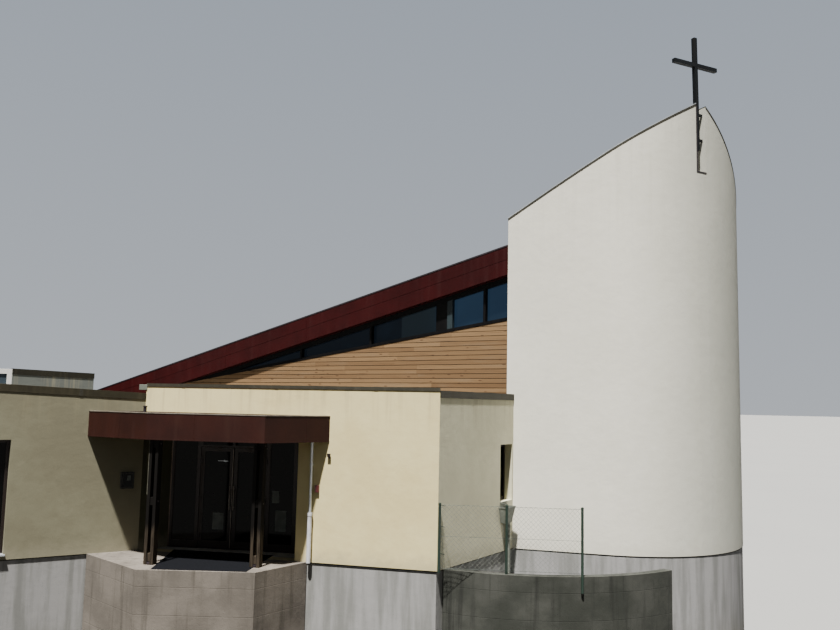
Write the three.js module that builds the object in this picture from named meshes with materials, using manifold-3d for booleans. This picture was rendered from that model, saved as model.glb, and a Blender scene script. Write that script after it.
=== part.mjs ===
// Modern church: a low rendered annex and wing, a timber gable under a mono-pitch nave roof,
// and a comma-shaped tower whose rim climbs to a slot with a cross.
// Millimetres, +Z up. Plan points start at the outer corner between the annex's front and side walls.
// While building, z = 0 is the entrance floor; the finished group stands on z = 0 at the lower ground.

import * as THREE from 'three';
import { mergeVertices } from 'three/addons/utils/BufferGeometryUtils.js';
import Module from 'manifold-3d';

const wasm = await Module();
wasm.setup();

// Levels above the entrance floor
const lowerGround = -2300;
const floorThickness = 200;
const flatRoofTop = 2980;
const flatRoofThickness = 220;
const annexTop = 3375;
const frontCopingHeight = 65;
const sideCopingBottom = 3250;
const sideCopingHeight = 140;
const wingTopAtEntrance = 3095;
const wingTopAtEnd = 3290;
const wingCopingHeight = 140;
const hallTopRight = 3700;
const hallTopLeft = 3840;
const hallTopAtWindow = 3760;
const hallCopingHeight = 150;
const hallRoofTop = 3560;

// Bearings of the walls in plan, in degrees from +X
const annexBearing = 165.6;
const sideBearing = 58;
const wingBearing = 212.5;
const blockBearing = 122.5;
const gableBearing = 146;
const naveBearing = 56;
const towerFaceBearing = -17;

// Plan lengths
const annexLength = 6360;
const wingLength = 4900;
const wingDepth = 8590;
const hallWidth = 5530;
const hallDepth = 5000;
const naveWidth = 15000;
const naveDepth = 12000;
const towerCornerOffset = [1580, 2820];
const towerFaceLength = 2220;
const towerRadius = 2920;

// Thicknesses and small sizes
const wallThickness = 300;
const towerWallThickness = 250;
const renderStep = 25;
const copingOverhang = 12;
const gap = 0.3;
const half = gap / 2;

// Nave roof, fascia and gable
const fasciaTopAtTower = 6820;
const fasciaHeight = 690;
const fasciaThickness = 60;
const roofFall = 0.228;
const roofThickness = 240;
const soffitThickness = 40;
const vergeOverhang = 180;
const eavesOverhang = 200;
const rearOverhang = 350;
const timberTopAtTower = 5096;
const timberFall = 0.134;
const gableThickness = 250;
const fasciaLowest = 3110;
const rearFasciaHeight = 400;
const sillHeight = 70;
const sillProjection = 30;
const glassThickness = 30;
const glassLap = 100;
const mullionWidth = 60;
const mullionDepth = 110;
const mullionPlaces = [713, 1661, 4054, 6418];
const clerestoryLength = 8740;
const sillEnd = 8880;
const clerestoryHead = 117;

// Tower: the rim climbs along the wall to the slot and then falls to the nave roof
const rimAtCorner = 7410;
const rimRise = 0.672;
const rimRiseEasing = 0.0000145;
const rimPeak = 10060;
const rimFall = 0.8;
const rimFallEasing = 0.00006;
const rimLowest = 7120;
const returnFall = 0.4;
const returnLength = 900;
const slotAngle = -62.1;
const slotWidth = 300;
const slotSill = 8510;
const cappingHeight = 25;
const cappingDrip = 25;
const cappingOverhang = 18;
const towerFlatRoof = 7000;
const towerRoofThickness = 180;
const towerArcStart = towerFaceBearing - 90;
const towerArcEnd = 84;
const towerJoints = [towerArcStart, -75, -30, 25, towerArcEnd];
const towerStep = 270;
const towerFaceStep = 450;
const toolRun = 20;
const plateClearance = 4;
const eastWallStart = 5750;

// Cross
const crossPost = 92;
const crossArm = 94;
const crossArmLength = 1335;
const crossFoot = 9040;
const crossTop = 11720;
const crossArmHeight = 11060;
const crossLean = 1;
const crossBracketHeights = [9290, 9890];
const crossBracketThickness = 50;
const crossBracketDepth = 60;

// Entrance
const openingRight = 2875;
const openingHead = 2340;
const canopyBottom = 2340;
const canopyTop = 2850;
const canopyAlongWing = 1120;
const canopyAlongFront = 2230;
const canopyKinkLeft = [-5600, -10];
const canopyKinkRight = [-3250, -500];
const postPlaces = [[-5440, 130], [-3420, 60]];
const postWidth = 200;
const postDepth = 150;
const plankWidth = 66;
const screenLeft = [-5700, 2070];
const screenRight = [-2910, 1560];
const frameDepth = 70;
const frameWidth = 60;
const doorHeight = 2120;
const doorWidth = 745;
const doorGap = 8;
const doorThickness = 50;
const paneThickness = 24;
const doorStile = 70;
const doorBottomRail = 150;
const hingeRadius = 12;
const hingeLength = 100;
const hingePlate = 34;
const hingeThickness = 6;
const hingeHeights = [220, 1000, 1800];
const platformFront = [[-5530, -420], [-3330, -470]];
const platformAlongWing = 1000;
const platformAlongFront = 2620;
const skirtThickness = 150;
const recessWall = 150;
const ceilingThickness = 60;
const canopyRim = 60;
const canopyPocket = 60;
const postBlock = 150;

// Windows: places along their walls, sills and heads
const sideWindowWidth = 580;
const sideWindowMargin = 60;
const sideWindowSill = 1060;
const sideWindowHead = 2280;
const wingWindowFrom = 2516;
const wingWindowWidth = 1200;
const wingWindowSill = 100;
const wingWindowHead = 2270;
const westWindowPlaces = [1600, 5400];
const westWindowSill = 900;
const hallWindowFrom = 1500;
const hallWindowTo = 3290;
const hallWindowSill = 3150;
const hallWindowHead = 3890;
const northWindowPlaces = [2400, 5600, 8800];
const northWindowWidth = 900;

// Rainwater pieces
const hopperPlaces = [2430, 3140];
const hopperDepth = 220;
const hopperTop = 950;
const hopperBottom = 610;
const hopperOutlet = [2530, 3050];
const sidePipeRadius = 42;
const sidePipePlace = 2960;
const frontPipePlace = 2560;
const frontPipeOffset = 70;
const frontPipeRadius = 28;
const frontPipeFoot = 960;
const frontPipeFootRadius = 44;

// Light-well wall and fence
const wellCentre = [2080, 3770];
const wellRadius = 4050;
const wellThickness = 190;
const wellStart = -121.5;
const wellEnd = -51.5;
const wellSegments = 25;
const fenceTop = 1270;
const fencePostRadius = 28;
const fencePostOnWall = 15;
const fencePostAngles = [-101.5, -81.5];
const fencePostLowest = -290;
const fenceWireRadius = 6;
const fenceWireHeights = [60, 650, 1230];

const radians = THREE.MathUtils.degToRad;
const degrees = THREE.MathUtils.radToDeg;

function polar(origin, bearing, distance) {
  const angle = radians(bearing);
  return [origin[0] + distance * Math.cos(angle), origin[1] + distance * Math.sin(angle)];
}

function distanceBetween(a, b) {
  return Math.hypot(b[0] - a[0], b[1] - a[1]);
}

function bearingOf(a, b) {
  return degrees(Math.atan2(b[1] - a[1], b[0] - a[0]));
}

function between(a, b, fraction) {
  return a.map((value, index) => value + (b[index] - value) * fraction);
}

// Point where the line through a along one bearing meets the line through b along another.
function meet(a, bearingA, b, bearingB) {
  const u = [Math.cos(radians(bearingA)), Math.sin(radians(bearingA))];
  const v = [Math.cos(radians(bearingB)), Math.sin(radians(bearingB))];
  const cross = u[0] * v[1] - u[1] * v[0];
  const along = ((b[0] - a[0]) * v[1] - (b[1] - a[1]) * v[0]) / cross;
  return [a[0] + along * u[0], a[1] + along * u[1]];
}

// Closed block over a plan outline; low and high are one height or one for each outline point.
function block(outline, low, high) {
  const count = outline.length;
  const lows = Array.isArray(low) ? low : outline.map(() => low);
  const highs = Array.isArray(high) ? high : outline.map(() => high);
  const contour = outline.map(([x, y]) => new THREE.Vector2(x, y));
  const turned = THREE.ShapeUtils.area(contour) < 0;
  const positions = [];
  outline.forEach(([x, y], index) => positions.push(x, y, lows[index]));
  outline.forEach(([x, y], index) => positions.push(x, y, highs[index]));
  const indices = [];
  for (const face of THREE.ShapeUtils.triangulateShape(contour, [])) {
    const clockwise = THREE.ShapeUtils.area(face.map((corner) => contour[corner])) < 0;
    const [a, b, c] = clockwise === turned ? face : face.slice().reverse();
    indices.push(a + count, b + count, c + count, c, b, a);
  }
  for (let index = 0; index < count; index += 1) {
    const next = (index + 1) % count;
    indices.push(index, next, next + count, index, next + count, index + count);
  }
  const geometry = new THREE.BufferGeometry();
  geometry.setAttribute('position', new THREE.Float32BufferAttribute(positions, 3));
  geometry.setIndex(indices);
  return outward(geometry);
}

// Closed body through sections with the same number of points; the caps name the four corners of each end face,
// and the sides named in turned are split along their other diagonal.
function sweep(sections, caps, turned = []) {
  const count = sections[0].length;
  const indices = [];
  const quad = (a, b, c, d) => indices.push(a, b, c, a, c, d);
  for (let index = 0; index + 1 < sections.length; index += 1) {
    const first = count * index;
    const second = first + count;
    for (let side = 0; side < count; side += 1) {
      const next = (side + 1) % count;
      const corners = [first + side, first + next, second + next, second + side];
      if (turned.includes(side)) {
        corners.push(corners.shift());
      }
      quad(...corners);
    }
  }
  const last = count * (sections.length - 1);
  for (const [a, b, c, d] of caps) {
    quad(d, c, b, a);
    quad(last + a, last + b, last + c, last + d);
  }
  const geometry = new THREE.BufferGeometry();
  geometry.setAttribute('position', new THREE.Float32BufferAttribute(sections.flat(2), 3));
  geometry.setIndex(indices);
  return outward(geometry);
}

// Closed strip between an outer and an inner line of plan points, with a low and a high for each pair.
function loft(outer, inner, lows, highs) {
  const sections = outer.map((point, index) => [
    [...point, lows[index]],
    [...inner[index], lows[index]],
    [...inner[index], highs[index]],
    [...point, highs[index]],
  ]);
  return sweep(sections, [[0, 1, 2, 3]]);
}

// Turns a closed geometry right side out if its signed volume is negative.
function outward(geometry) {
  const index = geometry.index.array;
  const corner = (place) => new THREE.Vector3().fromBufferAttribute(geometry.attributes.position, index[place]);
  let volume = 0;
  for (let place = 0; place < index.length; place += 3) {
    volume += corner(place).dot(corner(place + 1).cross(corner(place + 2)));
  }
  if (volume < 0) {
    for (let place = 0; place < index.length; place += 3) {
      [index[place], index[place + 1]] = [index[place + 1], index[place]];
    }
  }
  return geometry;
}

// Upright panel: a profile of distance and height, extruded from near to far on the right of its line.
function panel(origin, bearing, profile, near, far, holes = []) {
  const outline = (points) => points.map(([along, height]) => new THREE.Vector2(along, height));
  const shape = new THREE.Shape(outline(profile));
  shape.holes = holes.map((hole) => new THREE.Path(outline(hole)));
  const geometry = new THREE.ExtrudeGeometry(shape, { depth: far - near, bevelEnabled: false });
  const angle = radians(bearing);
  const along = new THREE.Vector3(Math.cos(angle), Math.sin(angle), 0);
  const up = new THREE.Vector3(0, 0, 1);
  const right = along.clone().cross(up);
  geometry.applyMatrix4(new THREE.Matrix4().makeBasis(along, up, right));
  const start = polar(origin, bearing - 90, near);
  geometry.translate(start[0], start[1], 0);
  return geometry;
}

function solid(geometry) {
  const bare = geometry.clone();
  bare.deleteAttribute('normal');
  bare.deleteAttribute('uv');
  const merged = mergeVertices(bare, 0.001);
  return new wasm.Manifold(new wasm.Mesh({
    numProp: 3,
    vertProperties: new Float32Array(merged.attributes.position.array),
    triVerts: new Uint32Array(merged.index.array),
  }));
}

function surface(manifold) {
  const mesh = manifold.getMesh();
  const geometry = new THREE.BufferGeometry();
  geometry.setAttribute('position', new THREE.Float32BufferAttribute(mesh.vertProperties, 3));
  geometry.setIndex(Array.from(mesh.triVerts));
  return geometry;
}

function join(...geometries) {
  return surface(geometries.map(solid).reduce((all, next) => all.add(next)));
}

function cut(geometry, ...tools) {
  return surface(tools.map(solid).reduce((all, next) => all.subtract(next), solid(geometry)));
}

// Strip along a line: from one distance to another, between two offsets to its left.
function strip(origin, bearing, from, to, near, far) {
  const corners = [[from, near], [to, near], [to, far], [from, far]];
  return corners.map(([along, aside]) => polar(polar(origin, bearing, along), bearing + 90, aside));
}

function bar(origin, bearing, from, to, near, far, low, high) {
  return block(strip(origin, bearing, from, to, near, far), low, high);
}

function cylinder(centre, radius, low, high, sides = 12) {
  const geometry = new THREE.CylinderGeometry(radius, radius, high - low, sides);
  geometry.rotateX(Math.PI / 2);
  geometry.translate(centre[0], centre[1], (low + high) / 2);
  return geometry;
}

function rod(start, end, radius, sides = 6) {
  const from = new THREE.Vector3(...start);
  const to = new THREE.Vector3(...end);
  const geometry = new THREE.CylinderGeometry(radius, radius, from.distanceTo(to), sides);
  const direction = to.clone().sub(from).normalize();
  const turn = new THREE.Quaternion().setFromUnitVectors(new THREE.Vector3(0, 1, 0), direction);
  geometry.applyQuaternion(turn);
  geometry.translate(...from.add(to).multiplyScalar(0.5).toArray());
  return geometry;
}

const finishes = {
  render: { color: 0xcbc4ad, roughness: 0.9, metalness: 0 },
  shadedRender: { color: 0xbfb79c, roughness: 0.9, metalness: 0 },
  towerRender: { color: 0xd2cec0, roughness: 0.9, metalness: 0 },
  concrete: { color: 0x9a9995, roughness: 0.95, metalness: 0 },
  weatheredConcrete: { color: 0x42423d, roughness: 0.95, metalness: 0 },
  coping: { color: 0x5a574c, roughness: 0.5, metalness: 0.4 },
  fascia: { color: 0x3c1615, roughness: 0.5, metalness: 0.3 },
  canopy: { color: 0x3b2520, roughness: 0.5, metalness: 0.3 },
  roofing: { color: 0x6b6c6e, roughness: 0.6, metalness: 0.4 },
  timber: { color: 0x97785a, roughness: 0.8, metalness: 0 },
  darkFrame: { color: 0x241a17, roughness: 0.5, metalness: 0.3 },
  glass: { color: 0x1d2a38, roughness: 0.1, metalness: 0 },
  steel: { color: 0x1c2227, roughness: 0.5, metalness: 0.6 },
  fence: { color: 0x1f3a2b, roughness: 0.6, metalness: 0.3 },
  zinc: { color: 0xb8bcc0, roughness: 0.5, metalness: 0.5 },
};

const church = new THREE.Group();

function add(name, geometry, finish) {
  const mesh = new THREE.Mesh(geometry, new THREE.MeshStandardMaterial(finishes[finish]));
  mesh.geometry.computeVertexNormals();
  mesh.name = name;
  church.add(mesh);
  return mesh;
}

// Plan corners
const annexCorner = [0, 0];
const innerCorner = polar(annexCorner, annexBearing, annexLength);
const wingEnd = polar(innerCorner, wingBearing, wingLength);
const hallLeft = polar(wingEnd, blockBearing, wingDepth);
const hallRight = polar(hallLeft, wingBearing - 180, hallWidth);
const hallBackLeft = polar(hallLeft, blockBearing, hallDepth);
const hallBackRight = polar(hallRight, blockBearing, hallDepth);
const towerCorner = towerCornerOffset;
const towerTangent = polar(towerCorner, towerFaceBearing, towerFaceLength);
const towerCentre = polar(towerTangent, towerFaceBearing + 90, towerRadius);
const gableStart = polar(towerCorner, naveBearing, vergeOverhang);
const naveBackRight = polar(towerCorner, naveBearing, naveDepth);
const naveFrontLeft = polar(towerCorner, gableBearing, naveWidth);
const naveBackLeft = polar(naveFrontLeft, naveBearing, naveDepth);
const gableEnd = polar(gableStart, gableBearing, naveWidth);

// Inner corners, where the inner faces of two walls meet
function innerMeet(corner, bearingIn, bearingOut, side = 1, thickness = wallThickness) {
  const a = polar(corner, bearingIn + 90 * side, thickness);
  const b = polar(corner, bearingOut + 90 * side, thickness);
  return meet(a, bearingIn, b, bearingOut);
}

const annexCornerInner = innerMeet(annexCorner, annexBearing, sideBearing - 180, -1);
const innerCornerInner = innerMeet(innerCorner, annexBearing, wingBearing, -1);
const wingEndInner = innerMeet(wingEnd, wingBearing, blockBearing, -1);
const hallBackLeftInner = innerMeet(hallBackLeft, blockBearing, wingBearing - 180, -1);
const hallBackRightInner = innerMeet(hallBackRight, wingBearing - 180, blockBearing + 180, -1);
const naveBackLeftInner = innerMeet(naveBackLeft, naveBearing, gableBearing - 180, -1);
const naveBackRightInner = innerMeet(naveBackRight, gableBearing - 180, naveBearing + 180, -1);
const screenBearing = bearingOf(screenLeft, screenRight);
const canopyBearing = annexBearing - 180;

// A wall between two mitred corners, its outer face stepped back below the render's lower edge.
// Corners are outer start, outer end, inner end, inner start; tops are the heights at start and end.
function mitredWall(corners, low, tops, holes = []) {
  const [start, end, endInner, startInner] = corners;
  const length = distanceBetween(start, end);
  const trim = half / length;
  const outline = [
    between(start, end, trim),
    between(end, start, trim),
    between(endInner, startInner, trim),
    between(startInner, endInner, trim),
  ];
  const heights = tops.length === 4 ? tops : [tops[0], tops[1], tops[1], tops[0]];
  const wall = block(outline, low, heights);
  const inward = [startInner[0] - start[0], startInner[1] - start[1]];
  const along = [(end[0] - start[0]) / length, (end[1] - start[1]) / length];
  const normal = [-along[1], along[0]];
  const side = Math.sign(inward[0] * normal[0] + inward[1] * normal[1]);
  const bearing = bearingOf(start, end);
  const tools = holes.map(([from, to, sill, head]) => (
    bar(start, bearing, from, to, -side * 100, side * (wallThickness + 100), sill, head)));
  if (low < 0) {
    tools.push(bar(start, bearing, -1000, length + 1000, -side * 200, side * renderStep, low - 10, 0));
  }
  return tools.length ? cut(wall, ...tools) : wall;
}

// Windows fill their hole: an outer frame with one sheet of glass set in it.
function windowUnit(start, bearing, side, from, to, sill, head, setback = 140) {
  const clear = 2 * gap;
  const outer = [from + clear, to - clear, sill + clear, head - clear];
  const near = side * setback;
  const far = side * (setback + frameDepth);
  const frame = bar(start, bearing, outer[0], outer[1], near, far, outer[2], outer[3]);
  const frontFace = side * (setback - 10);
  const glassFront = side * (setback + 20);
  const glassBack = side * (setback + frameDepth - 20);
  const backFace = side * (setback + frameDepth + 10);
  const inset = [outer[0] + frameWidth, outer[1] - frameWidth, outer[2] + frameWidth, outer[3] - frameWidth];
  const front = bar(start, bearing, inset[0], inset[1], frontFace, glassFront, inset[2], inset[3]);
  const back = bar(start, bearing, inset[0], inset[1], glassBack, backFace, inset[2], inset[3]);
  return cut(frame, front, back);
}

// One sheet on the inner face of a wall closes all its windows.
function glassSheet(start, bearing, holes) {
  const [first, last] = [holes[0], holes[holes.length - 1]];
  const near = -wallThickness - gap;
  const lap = 80;
  return bar(start, bearing, first[0] - lap, last[1] + lap, near, near - glassThickness, first[2] - lap, first[3] + lap);
}

// Annex: front wall with the entrance opening at its inner end, and the shaded side wall
function buildAnnex() {
  const openingPoint = polar(annexCorner, annexBearing, openingRight);
  const openingInner = polar(openingPoint, annexBearing - 90, wallThickness);
  const rightPart = [annexCorner, openingPoint, openingInner, annexCornerInner];
  add('annex_front_wall', mitredWall(rightPart, lowerGround, [annexTop, annexTop]), 'render');

  const sideEnd = meet(annexCorner, sideBearing, towerCorner, towerFaceBearing);
  const sideEndInner = meet(annexCornerInner, sideBearing, towerCorner, sideBearing + 90);
  const reach = distanceBetween(annexCorner, sideEnd);
  const outline = [
    polar(annexCorner, sideBearing, half),
    polar(sideEnd, sideBearing, -gap),
    polar(towerCorner, towerFaceBearing - 90, gap),
    sideEndInner,
    polar(annexCornerInner, sideBearing, half),
  ];
  const from = reach - sideWindowMargin - sideWindowWidth;
  const hole = [from, from + sideWindowWidth, sideWindowSill, sideWindowHead];
  const opening = bar(annexCorner, sideBearing, hole[0], hole[1], -100, wallThickness + 100, hole[2], hole[3]);
  const step = bar(annexCorner, sideBearing, -1000, reach - gap, -200, renderStep, lowerGround - 10, 0);
  add('annex_side_wall', cut(block(outline, lowerGround, sideCopingBottom), opening, step), 'render');
  add('side_window', windowUnit(annexCorner, sideBearing, 1, ...hole, 180), 'darkFrame');
}

// Recess behind the entrance opening: its base wall, side walls and ceiling
function buildRecess() {
  const openingPoint = polar(annexCorner, annexBearing, openingRight);
  const openingInner = polar(openingPoint, annexBearing - 90, wallThickness);
  const baseCorners = [openingPoint, innerCorner, innerCornerInner, openingInner];
  add('entrance_base_wall', mitredWall(baseCorners, lowerGround, [0, 0]), 'concrete');

  const leftBearing = bearingOf(innerCorner, screenLeft);
  const leftOutline = [
    polar(innerCorner, leftBearing, gap),
    screenLeft,
    polar(screenLeft, leftBearing + 90, recessWall),
    polar(innerCornerInner, leftBearing, 3 * gap),
  ];
  add('recess_left_wall', block(leftOutline, gap, openingHead), 'shadedRender');

  const rightBearing = bearingOf(openingInner, screenRight);
  const rightOutline = [
    polar(openingInner, annexBearing - 90, gap),
    polar(polar(openingInner, annexBearing - 90, gap), annexBearing - 180, recessWall),
    polar(screenRight, rightBearing - 90, recessWall),
    screenRight,
  ];
  add('recess_right_wall', block(rightOutline, gap, openingHead), 'shadedRender');

  const ceiling = [
    polar(openingInner, annexBearing + 90, 10),
    polar(polar(innerCornerInner, annexBearing + 90, 10), annexBearing - 180, 20),
    polar(innerCornerInner, annexBearing - 90, gap),
    polar(screenLeft, screenBearing + 90, frameDepth),
    polar(screenRight, screenBearing + 90, frameDepth),
  ];
  const soffit = block(ceiling, openingHead + gap, openingHead + ceilingThickness);
  const overOpening = [openingPoint, innerCorner, innerCornerInner, openingInner];
  const lintel = mitredWall(overOpening, openingHead + gap, [annexTop, annexTop]);
  add('entrance_lintel_wall', join(lintel, soffit), 'render');
}

// A glazed panel of the entrance screen: frame members round a sheet of glass
function glazedPanel(from, to, low, high, near, far, bottomRail) {
  const frame = bar(screenLeft, screenBearing, from, to, near, far, low, high);
  const middle = (near + far) / 2;
  const pane = paneThickness / 2;
  const inside = [from + doorStile, to - doorStile, low + bottomRail, high - doorStile];
  const [left, right, bottom, top] = inside;
  const front = bar(screenLeft, screenBearing, left, right, near - 10, middle - pane, bottom, top);
  const back = bar(screenLeft, screenBearing, left, right, middle + pane, far + 10, bottom, top);
  return cut(frame, front, back);
}

// Entrance screen: two fixed side lights, a transom, and a pair of hinged leaves
function buildScreen() {
  const width = distanceBetween(screenLeft, screenRight);
  const sideLight = (width - 2 * doorWidth) / 2;
  const head = openingHead - gap;
  const leftPanel = glazedPanel(gap, sideLight, 2 * gap, head, 0, frameDepth, doorBottomRail);
  const rightPanel = glazedPanel(width - sideLight, width - gap, 2 * gap, head, 0, frameDepth, doorBottomRail);
  add('screen_side_light_left', leftPanel, 'darkFrame');
  add('screen_side_light_right', rightPanel, 'darkFrame');
  const doorwayLeft = sideLight + gap;
  const doorwayRight = width - sideLight - gap;
  const transom = bar(screenLeft, screenBearing, doorwayLeft, doorwayRight, 0, frameDepth, doorHeight, head);
  add('screen_transom', transom, 'darkFrame');
  const near = (frameDepth - doorThickness) / 2;
  const far = near + doorThickness;
  const low = doorGap;
  const high = doorHeight - doorGap;
  const middle = width / 2;
  const leafLeft = glazedPanel(doorwayLeft + doorGap, middle - doorGap, low, high, near, far, doorBottomRail);
  const leafRight = glazedPanel(middle + doorGap, doorwayRight - doorGap, low, high, near, far, doorBottomRail);
  add('door_leaf_left', join(leafLeft, ...doorHinges(doorwayLeft + doorGap / 2, 1, near)), 'darkFrame');
  add('door_leaf_right', join(leafRight, ...doorHinges(doorwayRight - doorGap / 2, -1, near)), 'darkFrame');
}

// Knuckle hinges of a leaf: each barrel turns on the axis and bears on the side light's front edge.
function doorHinges(axisPlace, side, leafFace) {
  const axisDepth = -Math.sqrt((hingeRadius + gap) ** 2 - (doorGap / 2) ** 2);
  const axis = polar(polar(screenLeft, screenBearing, axisPlace), screenBearing + 90, axisDepth);
  const edge = axisPlace + side * doorGap / 2;
  const place = (from, to) => (side > 0 ? [from, to] : [to, from]);
  const arm = place(axisPlace, edge + side * hingePlate);
  const root = place(edge + side, edge + side * hingePlate);
  const front = axisDepth - hingeThickness / 2;
  const back = axisDepth + hingeThickness / 2;
  return hingeHeights.flatMap((low) => {
    const high = low + hingeLength;
    return [
      cylinder(axis, hingeRadius, low, high, 24),
      bar(screenLeft, screenBearing, ...arm, front, back, low, high),
      bar(screenLeft, screenBearing, ...root, back - 1, leafFace + 1, low, high),
    ];
  });
}

// Platform under the canopy: a slab on skirt walls down to the lower ground
function buildPlatform() {
  const wingPoint = polar(innerCorner, wingBearing, platformAlongWing);
  const frontPoint = polar(annexCorner, annexBearing, platformAlongFront);
  const plinthCorner = meet(
    polar(wingPoint, wingBearing + 90, gap), wingBearing, polar(frontPoint, annexBearing + 90, gap), annexBearing);
  const outline = [
    polar(wingPoint, wingBearing + 90, gap),
    platformFront[0],
    platformFront[1],
    polar(frontPoint, annexBearing + 90, gap),
    plinthCorner,
  ];
  const middle = outline.reduce((sum, point) => [sum[0] + point[0] / 5, sum[1] + point[1] / 5], [0, 0]);
  const inside = outline.map((point) => between(middle, point, 1 - skirtThickness / 900));
  const body = block(outline, lowerGround, 0);
  add('entrance_platform', cut(body, block(inside, lowerGround - 10, -floorThickness)), 'concrete');
}

function buildCanopy() {
  const onWing = polar(polar(innerCorner, wingBearing, canopyAlongWing), wingBearing + 90, gap);
  const onFront = polar(polar(annexCorner, annexBearing, canopyAlongFront), annexBearing + 90, gap);
  const corner = meet(onWing, wingBearing, onFront, annexBearing);
  const outline = [onWing, canopyKinkLeft, canopyKinkRight, onFront, corner];
  const middle = between(between(onWing, onFront, 0.5), between(canopyKinkRight, corner, 0.5), 0.5);
  const pocket = outline.map((point) => {
    const reach = distanceBetween(middle, point);
    return between(middle, point, 1 - canopyRim / reach);
  });
  const body = block(outline, canopyBottom, canopyTop);
  add('canopy', cut(body, block(pocket, canopyTop - canopyPocket, canopyTop + 10)), 'canopy');

  const names = ['canopy_post_left', 'canopy_post_right'];
  const low = gap;
  const high = canopyBottom - gap;
  postPlaces.forEach((place, index) => {
    const parts = [];
    for (const side of [-1, 1]) {
      const centre = side * (postWidth - plankWidth) / 2;
      const from = centre - plankWidth / 2;
      parts.push(bar(place, canopyBearing, from, from + plankWidth, -postDepth / 2, postDepth / 2, low, high));
    }
    const inside = postWidth / 2 - plankWidth + 5;
    for (const level of [low, (low + high) / 2, high - postBlock]) {
      const depth = postDepth / 2 - 20;
      parts.push(bar(place, canopyBearing, -inside, inside, -depth, depth, level, level + postBlock));
    }
    add(names[index], join(...parts), 'timber');
  });
}

// The hall's front wall is level up to its window and falls to the right beyond it.
function hallTopAt(along) {
  if (along <= hallWindowFrom) {
    return hallTopLeft;
  }
  const fallEnd = hallWidth - wallThickness - 2 * copingOverhang;
  const fraction = Math.min((along - hallWindowTo) / (fallEnd - hallWindowTo), 1);
  return hallTopAtWindow + (hallTopRight - hallTopAtWindow) * fraction;
}

// Wing and raised hall
function buildWing() {
  const wingWall = [innerCorner, wingEnd, wingEndInner, innerCornerInner];
  const hole = [wingWindowFrom, wingWindowFrom + wingWindowWidth, wingWindowSill, wingWindowHead];
  const tops = [wingTopAtEntrance, wingTopAtEnd];
  add('wing_front_wall', mitredWall(wingWall, lowerGround, tops, [hole]), 'shadedRender');
  add('wing_window', windowUnit(innerCorner, wingBearing, -1, ...hole), 'darkFrame');

  const hallLeftInner = polar(hallLeft, blockBearing - 90, wallThickness);
  const westHoles = westWindowPlaces.map((from) => [from, from + wingWindowWidth, westWindowSill, wingWindowHead]);
  const wingWest = [wingEnd, hallLeft, hallLeftInner, wingEndInner];
  const westTops = [wingTopAtEnd, wingTopAtEnd];
  add('wing_west_wall', mitredWall(wingWest, lowerGround, westTops, westHoles), 'render');
  add('west_window_glass', glassSheet(wingEnd, blockBearing, westHoles), 'glass');

  const hallWest = [hallLeft, hallBackLeft, hallBackLeftInner, hallLeftInner];
  add('hall_west_wall', mitredWall(hallWest, lowerGround, [hallTopLeft, hallTopLeft]), 'render');
  const hallNorth = [hallBackLeft, hallBackRight, hallBackRightInner, hallBackLeftInner];
  add('hall_back_wall', mitredWall(hallNorth, lowerGround, [hallTopLeft, hallTopRight]), 'render');
  const hallRightInner = polar(hallRight, blockBearing + 90, wallThickness);
  const hallEast = [hallBackRight, hallRight, hallRightInner, hallBackRightInner];
  const eastWall = mitredWall(hallEast, lowerGround, [hallTopRight, hallTopRight]);
  const linkEnd = meet(gableEnd, wingBearing, hallRight, blockBearing);
  const linkReach = distanceBetween(gableEnd, linkEnd) + 100;
  const link = bar(gableEnd, wingBearing, gap, linkReach, gap, wallThickness, lowerGround, wingTopAtEntrance);
  add('hall_east_wall', join(eastWall, link), 'render');

  const hallBearing = wingBearing - 180;
  const from = wallThickness + gap;
  const to = hallWidth - wallThickness - gap;
  const stops = [from, hallWindowFrom, hallWindowTo, to - 2 * copingOverhang, to];
  const outer = stops.map((along) => polar(hallLeft, hallBearing, along));
  const inner = outer.map((point) => polar(point, blockBearing, wallThickness));
  const front = loft(outer, inner, stops.map(() => flatRoofTop + gap), stops.map(hallTopAt));
  const notch = bar(hallLeft, hallBearing, hallWindowFrom, hallWindowTo, -100, wallThickness + 100,
    hallWindowSill, hallTopLeft + 100);
  add('hall_front_wall', cut(front, notch), 'render');
  const unit = windowUnit(hallLeft, hallBearing, 1, hallWindowFrom, hallWindowTo, hallWindowSill, hallWindowHead, 20);
  add('hall_window', unit, 'zinc');
}

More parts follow.
